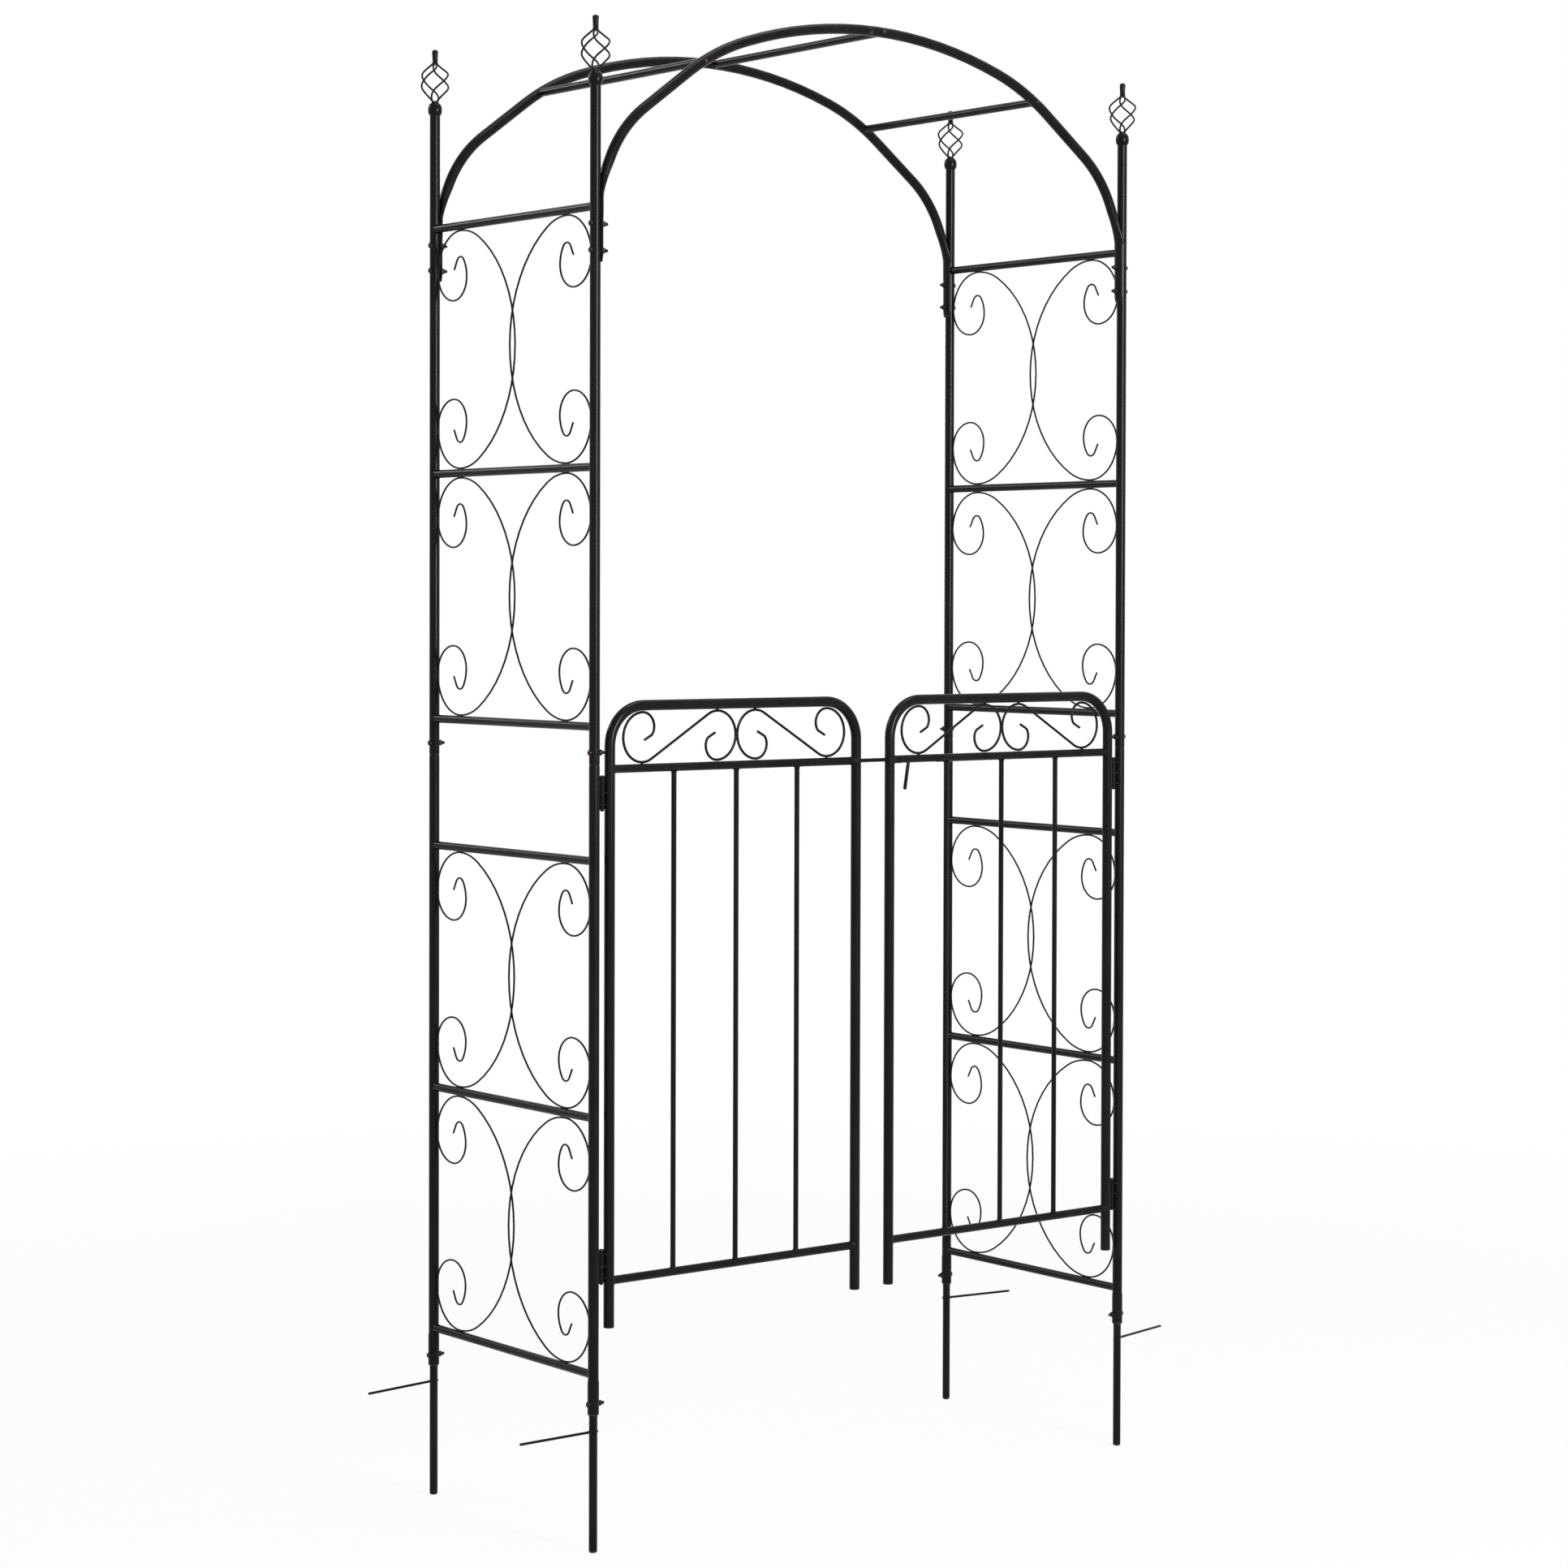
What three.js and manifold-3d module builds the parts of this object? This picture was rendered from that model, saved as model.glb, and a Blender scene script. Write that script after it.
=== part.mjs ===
// A walk-through garden arch of bolted steel tube: four posts on ground stakes, scrollwork
// side panels, a double arch over the walkway and a pair of swinging gates with a slide bolt.
// Millimetres. X runs across the walkway, Y through it from the gates at the front, Z is up.
// The origin is midway between the four posts, level with the tips of the ground stakes.
import * as THREE from "three";
import { mergeVertices } from "three/addons/utils/BufferGeometryUtils.js";
import Module from "manifold-3d";

const wasm = await Module();
wasm.setup();

// Driving sizes of the whole arch
const span = 1064; // between post axes, across the walkway
const depth = 434; // between post axes, through the arch
const fit = 0.3; // clearance between pieces that touch
const overrun = 6; // how far every cutting tool runs past the surface that it cuts
const mergeDistance = 0.001; // corners closer than this are one

// Facets
const tubeSides = 8;
const rodSides = 6;
const wireSides = 4;

const post = {
  radius: 8,
  wall: 1.2,
  lowSeam: 204, // stake tip to the bottom edge of the lower post
  lowerLength: 959, // low seam to mid seam
  upperLength: 997, // mid seam to the post's top
  neckLength: 60, // swaged end of the lower post, inside the upper one
  swageLength: 4,
  socketSwell: 0.6,
  socketLength: 48,
};
const midSeam = post.lowSeam + post.lowerLength;
const postTop = midSeam + post.upperLength;
const postBore = post.radius - post.wall;

const stake = {
  clearance: 0.45, // inside the lower post
  wall: 1.2,
  reach: 66, // above the low seam, inside the lower post
  chamfer: 1.5,
  prongDrop: 25, // below the low seam
  prongRadius: 2,
  prongLength: 130, // from the stake's axis
  prongNub: 1.5, // left standing on the far side
};
stake.radius = postBore - stake.clearance;

const panel = {
  railRadius: 6.35,
  railWall: 1,
  lowerRise: 59, // low seam to the first rail of the lower panel
  lowerDrop: 142, // mid seam down to its last rail
  upperRise: 56, // mid seam to the first rail of the upper panel
  upperDrop: 177, // post top down to its last rail
  wireRadius: 1.5,
  weld: 0.4, // how deep a welded wire sinks into its rail
};

const panelCells = 2;

// One half of a cell's C-scroll from the middle of its back outward, in shares of its whole height
const cellScrollBowShare = 0.035;
const cellScrollShares = [
  { radius: 0.545, turn: 60, steps: 2 },
  { radius: 0.272, turn: 30, steps: 1 },
  { radius: 0.175, turn: 90, steps: 3 },
  { radius: 0.122, turn: 90, steps: 2 },
  { radius: 0.098, turn: 90, steps: 2 },
  { radius: 0.06, turn: 140, steps: 3 },
  { straight: 0.038 },
];

const arch = {
  radius: 8,
  wall: 1.2,
  crownRise: 133, // post top to the arch's axis at the crown
  seam: 12, // of the two halves, left of the middle
  neckLength: 45, // swaged end of the right half, inside the left one
  bite: 0.4, // how far the round tube would reach into the post where its pressed end starts
  pressLength: 21.5, // from the round tube down to the saddle
  pressCrease: 0.4,
  saddleDrop: 160, // post top to the top of the saddle
  saddleHeight: 98.5,
  saddleThickness: 3.7,
  flareLength: 4, // from the saddle's flared top down to its even clasp
  boltDrop: 202.5, // post top to the upper of the saddle's two bolts
  boltPitch: 39,
};
const saddleShoulderAngle = 74; // half of what the saddle clasps at its top
const saddleFlankAngle = 58; // and below its flare

// One half of the arch from the crown outward, in shares of its span
const archShares = [
  { radius: 0.775, turn: 18.6, steps: 2 },
  { radius: 0.378, turn: 18.1, steps: 2 },
  { straight: 0.097 },
  { radius: 0.184, turn: 41.3, steps: 3 },
];

const crossbar = {
  run: 349, // along the arch from the crown to the outer crossbars
  insetFromSeam: 24, // of the middle crossbar, on the far side of the crown from the seam
};

const bolt = {
  radius: 2.5,
  headRadius: 4.4,
  headHeight: 3.5,
  nutRadius: 4,
  nutHeight: 4.4,
  stileClearance: 1.3, // from the tail's end to the gate beside it
  footRise: 16, // low seam to the bolt of the stake
  midRise: 18, // mid seam to the bolt of the post joint
};

const finial = {
  spigotLength: 25,
  collarRadius: 11,
  collarHeight: 20,
  neckRadius: 5.2,
  basketRadius: 23.9, // to the axis of its wires
  basketHeight: 61,
  wireRadius: 1.1,
  pinRadius: 5,
  pinTipRadius: 4.3,
  pinHeight: 22,
};
const basketWires = 4;
const basketTurns = 0.5;

// A basket wire's distance from the axis at shares of its height, in shares of its radius
const basketShares = [
  [0, 0.16],
  [0.3, 1],
  [0.475, 1],
  [0.65, 1],
  [1, 0.14],
];
// The collar's radius at shares of its height, in shares of its radius
const collarShares = [
  [0, 0.76],
  [0.25, 1],
  [0.7, 0.95],
];

const hinge = {
  height: 49,
  upperDrop: 127.8, // axis of the gate's top rail to the middle of the upper hinge
  lowerRise: 92.5, // bottom of the gate's stiles to the middle of the lower hinge
  leafThickness: 1.1,
  knuckleRadius: 3.9,
  knuckleClearance: 0.6, // from a knuckle to the other leaf
  pinRadius: 1.7,
  pinHeadRadius: 3,
  pinHeadHeight: 1,
  pinBallRadius: 3.4,
  neckThickness: 2.4,
};
const leafHalfAngle = 32;
const hingeReach = hinge.knuckleRadius + hinge.knuckleClearance + hinge.leafThickness + fit;
const boltTail = 2 * hingeReach - bolt.stileClearance;

const gate = {
  radius: 8,
  wall: 1.2,
  latchGap: 52.4, // between the two gates
  footRise: 125.5, // low seam to the bottom of the stiles
  height: 919.8, // bottom of the stiles to the axis of the top rail
  cornerRadius: 60,
  midRailDrop: 93.3, // below the top rail
  bottomRailRise: 69.5, // above the bottom of the stiles
  balusterRadius: 4,
  scrollRadius: 2,
};
const balusters = 3;
const hingeAxis = span / 2 - post.radius - hingeReach;
const hingeStile = hingeAxis - hingeReach - gate.radius;
const latchStile = gate.latchGap / 2 + gate.radius;
const gateMiddle = (hingeStile + latchStile) / 2;
const gateFoot = post.lowSeam + gate.footRise;
const topRail = gateFoot + gate.height;
const midRail = topRail - gate.midRailDrop;
const bottomRail = gateFoot + gate.bottomRailRise;

// One half of a gate's S-scroll from its middle outward, in shares of its whole height
const gateScrollHeading = 30;
const gateScrollShares = [
  { straight: 0.845 },
  { radius: 0.48, turn: 120, steps: 4 },
  { radius: 0.495, turn: 90, steps: 3 },
  { radius: 0.29, turn: 90, steps: 2 },
  { radius: 0.205, turn: 90, steps: 2 },
  { straight: 0.14 },
];
const gateScrollWidthShare = 0.445; // of the distance between the stiles, for each S

const latch = {
  radius: 3,
  strikeRadius: 5.2, // of the wide hole in the other gate that the bolt enters
  clearance: 0.5, // from the drawn bolt's tip to the other gate, and along its slot
  engage: 12, // travel into the other gate
  draw: 55, // travel back out of the gap
  length: 116,
  handleRun: 99.2, // bolt tip to the handle
  handleRadius: 2.25,
  handleDrop: 48, // bolt axis to the handle's end
  handleLean: 8,
};
const latchTip = -gate.latchGap / 2 + latch.clearance;

// Finishes
const finish = (color, roughness, metalness) => () =>
  new THREE.MeshStandardMaterial({ color, roughness, metalness });
const blackCoat = finish(0x17181a, 0.42, 0.3);
const darkZinc = finish(0x54483c, 0.38, 0.85);

// Solids: geometry to a solid and back, and joins and cuts
function toSolid(geometry) {
  const bare = geometry.clone();
  bare.deleteAttribute("normal");
  bare.deleteAttribute("uv");
  const merged = mergeVertices(bare, mergeDistance);
  return new wasm.Manifold(
    new wasm.Mesh({
      numProp: 3,
      vertProperties: merged.attributes.position.array,
      triVerts: new Uint32Array(merged.index.array),
    }),
  );
}

function toGeometry(solid) {
  const mesh = solid.getMesh();
  const geometry = new THREE.BufferGeometry();
  geometry.setAttribute("position", new THREE.BufferAttribute(mesh.vertProperties, 3));
  geometry.setIndex(new THREE.BufferAttribute(mesh.triVerts, 1));
  geometry.computeVertexNormals();
  return geometry;
}

function join(...geometries) {
  return toGeometry(geometries.map(toSolid).reduce((all, one) => all.add(one)));
}

function cut(geometry, ...tools) {
  return toGeometry(tools.map(toSolid).reduce((rest, tool) => rest.subtract(tool), toSolid(geometry)));
}

// Round pieces are faceted with their flats, which face the sides, at the true radius
const cornerRadius = (radius, sides) => radius / Math.cos(Math.PI / sides);

// A profile of [radius, height] pairs turned round +Z
function turned(profile, sides = tubeSides) {
  const points = profile.map(([radius, height]) => new THREE.Vector2(cornerRadius(radius, sides), height));
  return new THREE.LatheGeometry(points, sides, Math.PI / sides).rotateX(Math.PI / 2);
}

// A bar or a tube on +Z, from height zero up
function bar(radius, length, sides = tubeSides) {
  return turned([[0, 0], [radius, 0], [radius, length], [0, length]], sides);
}

function tube(radius, bore, length, sides = tubeSides) {
  const ends = [[bore, 0], [radius, 0], [radius, length], [bore, length]];
  return turned([...ends, ends[0]], sides);
}

// Puts a piece made on +Z between two places, its foot at the first
function laid(make, from, to) {
  const way = new THREE.Vector3().subVectors(to, from);
  const turn = new THREE.Quaternion().setFromUnitVectors(new THREE.Vector3(0, 0, 1), way.clone().normalize());
  return make(way.length()).applyQuaternion(turn).translate(from.x, from.y, from.z);
}

const place = (x, y, z) => new THREE.Vector3(x, y, z);

// A curve with one ring of its swept section at each of its stations
class StationCurve extends THREE.Curve {
  constructor(stations) {
    super();
    this.stations = stations;
  }

  getUtoTmapping(share) {
    return share;
  }

  getPoint(share, target = new THREE.Vector3()) {
    const last = this.stations.length - 1;
    const index = Math.min(Math.floor(share * last), last - 1);
    return target.lerpVectors(this.stations[index], this.stations[index + 1], share * last - index);
  }

  getTangent(share, target = new THREE.Vector3()) {
    const last = this.stations.length - 1;
    const index = Math.round(share * last);
    const here = this.stations[index];
    const ahead = this.stations[Math.min(index + 1, last)];
    const behind = this.stations[Math.max(index - 1, 0)];
    const inward = new THREE.Vector3().subVectors(here, behind).normalize();
    return target.subVectors(ahead, here).normalize().add(inward).normalize();
  }
}

function polygon(radius, sides) {
  const corner = (_, index) => {
    const angle = (2 * Math.PI * (index + 0.5)) / sides;
    return new THREE.Vector2(Math.cos(angle), Math.sin(angle)).multiplyScalar(cornerRadius(radius, sides));
  };
  return Array.from({ length: sides }, corner);
}

// A round bar, or a tube when it has a bore, swept through stations
function swept(stations, radius, sides, bore = 0) {
  const section = new THREE.Shape(polygon(radius, sides));
  if (bore > 0) section.holes.push(new THREE.Path(polygon(bore, sides)));
  const extrudePath = new StationCurve(stations);
  return new THREE.ExtrudeGeometry(section, { steps: stations.length - 1, extrudePath });
}

// The stations of a rod bent in one plane: straights, and bends that turn it clockwise
function bentRod(bends, firstHeading = 0) {
  const stations = [new THREE.Vector2()];
  let heading = THREE.MathUtils.degToRad(firstHeading);
  const advance = (length) => {
    const step = new THREE.Vector2(Math.cos(heading), Math.sin(heading)).multiplyScalar(length);
    stations.push(step.add(stations.at(-1)));
  };
  for (const { straight, radius, turn, steps } of bends) {
    if (straight) {
      advance(straight);
      continue;
    }
    const slice = THREE.MathUtils.degToRad(turn) / steps;
    for (let step = 0; step < steps; step++) {
      heading -= slice / 2;
      advance(2 * radius * Math.sin(slice / 2));
      heading -= slice / 2;
    }
  }
  return stations;
}

// Stretches flat stations so that they reach exactly as far across and up as asked
function fitted(stations, across, up) {
  const widest = Math.max(...stations.map((station) => Math.abs(station.x)));
  const tallest = Math.max(...stations.map((station) => Math.abs(station.y)));
  return stations.map(({ x, y }) => new THREE.Vector2((x * across) / widest, (y * up) / tallest));
}

// Posts and stakes
function boltHole(height, reach) {
  const side = reach + overrun;
  return laid(
    (length) => bar(bolt.radius + fit, length, rodSides),
    place(-side, 0, height),
    place(side, 0, height),
  );
}

const footBoltHeight = post.lowSeam + bolt.footRise;
const midBoltHeight = midSeam + bolt.midRise;
const archBoltHeights = [postTop - arch.boltDrop, postTop - arch.boltDrop - arch.boltPitch];
const neckRadius = postBore - fit;

function upperPost() {
  const body = tube(post.radius, postBore, post.upperLength).translate(0, 0, midSeam);
  const heights = [midBoltHeight, ...archBoltHeights];
  return cut(body, ...heights.map((height) => boltHole(height, post.radius)));
}

function lowerPost() {
  const socketRadius = post.radius + post.socketSwell;
  const socketTop = post.lowSeam + post.socketLength;
  const socketEnd = socketTop + post.swageLength;
  const neckStart = midSeam - post.swageLength;
  const neckTop = midSeam + post.neckLength;
  const body = turned([
    [postBore + post.socketSwell, post.lowSeam],
    [socketRadius, post.lowSeam],
    [socketRadius, socketTop],
    [post.radius, socketEnd],
    [post.radius, neckStart],
    [neckRadius, midSeam],
    [neckRadius, neckTop],
    [neckRadius - post.wall, neckTop],
    [neckRadius - post.wall, midSeam],
    [postBore, neckStart],
    [postBore, socketEnd],
    [postBore + post.socketSwell, socketTop],
    [postBore + post.socketSwell, post.lowSeam],
  ]);
  return cut(body, boltHole(footBoltHeight, socketRadius), boltHole(midBoltHeight, post.radius));
}

// A stake, closed at its tip, with the prong that a foot presses into the ground
function groundStake(prongYaw) {
  const top = post.lowSeam + stake.reach;
  const bore = stake.radius - stake.wall;
  const body = turned([
    [0, 0],
    [stake.radius - stake.chamfer, 0],
    [stake.radius, stake.chamfer],
    [stake.radius, top],
    [bore, top],
    [bore, stake.wall],
    [0, stake.wall],
  ]);
  const prongHeight = post.lowSeam - stake.prongDrop;
  const prong = laid(
    (length) => bar(stake.prongRadius, length, rodSides),
    place(-stake.radius - stake.prongNub, 0, prongHeight),
    place(stake.prongLength, 0, prongHeight),
  ).rotateZ(THREE.MathUtils.degToRad(prongYaw));
  return cut(join(body, prong), boltHole(footBoltHeight, stake.radius));
}

// A bolt along X with its domed head outside, its nut inside, and the thread's end beyond
function throughBolt(outerFace, innerFace, tail) {
  const tailEnd = -innerFace - tail;
  const shank = outerFace - tailEnd;
  const head = turned(
    [
      [0, shank + fit],
      [bolt.headRadius, shank + fit],
      [bolt.headRadius, shank + fit + bolt.headHeight / 3],
      [bolt.radius, shank + fit + bolt.headHeight],
      [0, shank + fit + bolt.headHeight],
    ],
    rodSides,
  );
  const nut = bar(bolt.nutRadius, bolt.nutHeight, rodSides).translate(0, 0, tail - bolt.nutHeight - fit);
  const body = join(bar(bolt.radius, shank + fit + bolt.headHeight / 2, rodSides), head, nut);
  return body.rotateY(Math.PI / 2).translate(tailEnd, 0, 0);
}

// Finials
function basketWire(index) {
  const start = (2 * Math.PI * index) / basketWires;
  const base = postTop + finial.collarHeight;
  const stations = basketShares.map(([heightShare, radiusShare]) => {
    const angle = start + 2 * Math.PI * basketTurns * heightShare;
    const radius = finial.basketRadius * radiusShare;
    const height = base + finial.basketHeight * heightShare;
    return place(radius * Math.cos(angle), radius * Math.sin(angle), height);
  });
  return swept(stations, finial.wireRadius, wireSides);
}

function finialPiece() {
  const collarTop = postTop + finial.collarHeight;
  const basketTop = collarTop + finial.basketHeight;
  const collar = turned([
    [0, postTop - finial.spigotLength],
    [neckRadius, postTop - finial.spigotLength],
    [neckRadius, postTop + fit],
    ...collarShares.map(([heightShare, radiusShare]) => [
      finial.collarRadius * radiusShare,
      postTop + fit + finial.collarHeight * heightShare,
    ]),
    [finial.neckRadius, collarTop],
    [finial.neckRadius, collarTop + 2 * finial.wireRadius],
    [0, collarTop + 2 * finial.wireRadius],
  ]);
  const pin = turned(
    [
      [0, basketTop - 2 * finial.wireRadius],
      [finial.pinRadius, basketTop - 2 * finial.wireRadius],
      [finial.pinRadius, basketTop],
      [finial.pinTipRadius, basketTop + finial.pinHeight],
      [0, basketTop + finial.pinHeight],
    ],
    rodSides,
  );
  const wires = Array.from({ length: basketWires }, (_, index) => basketWire(index));
  return join(collar, pin, ...wires);
}

// Side panels: coped rails with a pair of C-scrolls welded into each cell between them
function panelRail(height) {
  const rail = laid(
    (length) => bar(panel.railRadius, length),
    place(0, -depth / 2, height),
    place(0, depth / 2, height),
  );
  const cope = (y) =>
    bar(post.radius + fit, 2 * (panel.railRadius + overrun)).translate(
      0,
      y,
      height - panel.railRadius - overrun,
    );
  return cut(rail, cope(-depth / 2), cope(depth / 2));
}

// Each C bows a little past the middle and curls against the rails and its own post
function cellScroll(cell, middle, row) {
  const crest = cell / 2 - panel.railRadius - panel.wireRadius + panel.weld;
  const side = depth / 2 - post.radius - panel.wireRadius - fit;
  const bow = cellScrollBowShare * side;
  const half = fitted(bentRod(cellScrollShares, 90), side + bow, crest);
  const whole = [...half.slice(1).reverse().map(({ x, y }) => new THREE.Vector2(x, -y)), ...half];
  const stations = whole.map(({ x, y }) => place(0, row * (x - bow), middle + y));
  return swept(stations, panel.wireRadius, wireSides);
}

function trellisPanel(firstRail, lastRail) {
  const cell = (lastRail - firstRail) / panelCells;
  const pieces = [panelRail(firstRail)];
  for (let index = 0; index < panelCells; index++) {
    const middle = firstRail + (index + 0.5) * cell;
    pieces.push(cellScroll(cell, middle, -1), cellScroll(cell, middle, 1));
    pieces.push(panelRail(middle + cell / 2));
  }
  return join(...pieces);
}

// The arch: two bent tubes front and back, each of two halves, tied by three crossbars
const crownHeight = postTop + arch.crownRise;
const saddleTop = postTop - arch.saddleDrop;
const archLanding = span / 2 - post.radius - arch.radius + arch.bite;
const archCurve = fitted(bentRod(archShares), archLanding, crownHeight - saddleTop - arch.pressLength);

// A place on the right half of the arch and its slope, a run along it from the crown or at its end
function archAt(run) {
  let left = run;
  for (let index = 1; index < archCurve.length; index++) {
    const [from, to] = [archCurve[index - 1], archCurve[index]];
    const length = from.distanceTo(to);
    if (left <= length || index === archCurve.length - 1) {
      const point = from.clone().lerp(to, Math.min(left / length, 1));
      return { x: point.x, z: crownHeight + point.y, slope: Math.atan2(to.y - from.y, to.x - from.x) };
    }
    left -= length;
  }
}

const highestRail = postTop - panel.upperDrop;
const archStation = (side, { x, z }) => place(side * x, 0, z);
const archBore = arch.radius - arch.wall;

// The solid saddle's corners: round its flanks, in shares of the clasp, and back along its chord
const flankShares = [-1, -1 / 3, 1 / 3, 1];
const chordShares = [0.6, 0.2, -0.2, -0.6];
const saddleFace = post.radius + fit + arch.saddleThickness;

function saddleOutline(halfAngle, z) {
  const half = THREE.MathUtils.degToRad(halfAngle);
  const radius = saddleFace / Math.cos(half / 3);
  const corner = (share) => [radius * Math.cos(half * share), radius * Math.sin(half * share)];
  const flanks = flankShares.map(corner);
  const [edgeX, edgeY] = flanks.at(-1);
  const chord = chordShares.map((share) => [edgeX, edgeY * share]);
  return [...flanks, ...chord].map(([x, y]) => place(span / 2 - x, y, z));
}

// The pressed end, on the right: the round tube flattened into a saddle that clasps the post
function archSaddle() {
  const end = archAt(Infinity);
  const ring = polygon(arch.radius + arch.pressCrease, tubeSides).map(({ x, y }) =>
    place(end.x + x * Math.sin(end.slope), y, end.z - x * Math.cos(end.slope)),
  );
  const firstFlank = tubeSides - flankShares.length / 2;
  return loft([
    [...ring.slice(firstFlank), ...ring.slice(0, firstFlank)],
    saddleOutline(saddleShoulderAngle, saddleTop),
    saddleOutline(saddleFlankAngle, saddleTop - arch.flareLength),
    saddleOutline(saddleFlankAngle, saddleTop - arch.saddleHeight),
  ]);
}

// A closed skin down over rings of equally many corners, its convex ends capped
function loft(rings) {
  const corners = rings[0].length;
  const triangles = [];
  for (let ring = 0; ring + 1 < rings.length; ring++) {
    const [upper, lower] = [rings[ring], rings[ring + 1]];
    for (let index = 0; index < corners; index++) {
      const next = (index + 1) % corners;
      triangles.push(upper[index], upper[next], lower[index], upper[next], lower[next], lower[index]);
    }
  }
  for (let index = 1; index + 1 < corners; index++) {
    triangles.push(rings[0][0], rings[0][index + 1], rings[0][index]);
    triangles.push(rings.at(-1)[0], rings.at(-1)[index], rings.at(-1)[index + 1]);
  }
  return new THREE.BufferGeometry().setFromPoints(triangles);
}

const middleCrossbar = crossbar.insetFromSeam - arch.seam;

// The swaged end of the right half: a shoulder inside its own bore and a neck into the left half
function archNeck() {
  const radius = archBore - fit;
  const leftAt = (run) => archStation(-1, archAt(run));
  const neck = [leftAt(arch.seam / 3), leftAt(arch.seam + arch.neckLength)];
  const shoulder = [leftAt(arch.seam / 2), leftAt(arch.seam - 2 * fit)];
  const halfWall = arch.wall / 2;
  return [
    swept(neck, radius, tubeSides, radius - arch.wall),
    swept(shoulder, archBore + halfWall, tubeSides, radius - halfWall),
  ];
}

// Half of an arch tube; the seam lies left of the crown, and the right half's neck crosses it
function archHalf(side, row) {
  const seamRuns = side < 0 ? [arch.seam + fit] : [arch.seam, arch.seam / 4];
  const seam = seamRuns.map((run) => archStation(-1, archAt(run)));
  const rest = archCurve.slice(side < 0 ? 1 : 0).map(({ x, y }) => place(side * x, 0, crownHeight + y));
  const saddle = archSaddle().rotateZ(side < 0 ? Math.PI : 0);
  const pieces = [swept([...seam, ...rest], arch.radius, tubeSides, archBore), saddle];
  if (side > 0) pieces.push(...archNeck());
  const postTool = bar(post.radius + fit, arch.saddleHeight + arch.pressLength + 4 * overrun)
    .translate((side * span) / 2, 0, saddleTop - arch.saddleHeight - overrun);
  const railTool = laid(
    (length) => bar(panel.railRadius + fit, length),
    place((side * span) / 2, 0, highestRail),
    place((side * span) / 2, -row * depth, highestRail),
  );
  const boltTool = (height) => boltHole(height, post.radius).translate((side * span) / 2, 0, 0);
  return cut(join(...pieces), postTool, railTool, ...archBoltHeights.map(boltTool));
}

// The whole arch as a solid bar with room round it, to cope a crossbar's end
function archTool(row) {
  const right = archCurve.map(({ x, y }) => place(x, (row * depth) / 2, crownHeight + y));
  const left = right.slice(1).map(({ x, y, z }) => place(-x, y, z));
  return swept([...left.reverse(), ...right], arch.radius + fit, tubeSides);
}

// A crossbar coped to both arch tubes
function crossbarPiece(side, { x, z, slope }) {
  const rail = laid(
    (length) => bar(panel.railRadius, length),
    place(0, -depth / 2, 0),
    place(0, depth / 2, 0),
  );
  const seated = rail.rotateY(-side * slope).translate(side * x, 0, z);
  return cut(seated, archTool(-1), archTool(1));
}

// Gates: made for the right-hand side, where the latch stile is the one nearer the middle
function gateFrame(holeRadius, holeReach) {
  const corner = { radius: gate.cornerRadius, turn: 90, steps: 4 };
  const leg = { straight: gate.height - gate.cornerRadius };
  const top = { straight: hingeStile - latchStile - 2 * gate.cornerRadius };
  const outline = bentRod([leg, corner, top, corner, leg], 90);
  const stations = outline.map(({ x, y }) => place(latchStile + x, 0, gateFoot + y));
  const frame = swept(stations, gate.radius, tubeSides, gate.radius - gate.wall);
  const hole = laid(
    (length) => bar(holeRadius, length, rodSides),
    place(latchStile - gate.radius - overrun, 0, midRail),
    place(latchStile + holeReach, 0, midRail),
  );
  return cut(frame, hole);
}

function gateRail(height) {
  const rail = laid(
    (length) => bar(panel.railRadius, length),
    place(latchStile, 0, height),
    place(hingeStile, 0, height),
  );
  const cope = (x) =>
    bar(gate.radius + fit, 2 * (panel.railRadius + overrun)).translate(
      x,
      0,
      height - panel.railRadius - overrun,
    );
  return cut(rail, cope(latchStile), cope(hingeStile));
}

const handleX = latchTip + latch.handleRun;

// The mid rail that carries the slide bolt is bored for it, and slotted underneath for its handle
function slottedRail() {
  const bore = laid(
    (length) => bar(panel.railRadius - panel.railWall, length),
    place(latchStile, 0, midRail),
    place(hingeStile, 0, midRail),
  );
  const room = latch.handleRadius + 2 * latch.clearance;
  const lean = (latch.handleLean * panel.railRadius) / latch.handleDrop;
  const start = handleX - latch.engage - room - lean;
  const end = handleX + latch.draw + room;
  const slot = new THREE.BoxGeometry(end - start, 2 * room, panel.railRadius + overrun).translate(
    (start + end) / 2,
    0,
    midRail - (panel.railRadius + overrun) / 2,
  );
  return cut(gateRail(midRail), bore, slot);
}

function gateGrille() {
  const pitch = (hingeStile - latchStile) / (balusters + 1);
  const bars = Array.from({ length: balusters }, (_, index) => {
    const x = latchStile + pitch * (index + 1);
    return laid(
      (length) => bar(gate.balusterRadius, length, rodSides),
      place(x, 0, bottomRail),
      place(x, 0, midRail),
    );
  });
  const railTool = laid(
    (length) => bar(panel.railRadius + fit, length),
    place(latchStile, 0, midRail),
    place(hingeStile, 0, midRail),
  );
  return cut(join(gateRail(bottomRail), ...bars), railTool);
}

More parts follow.
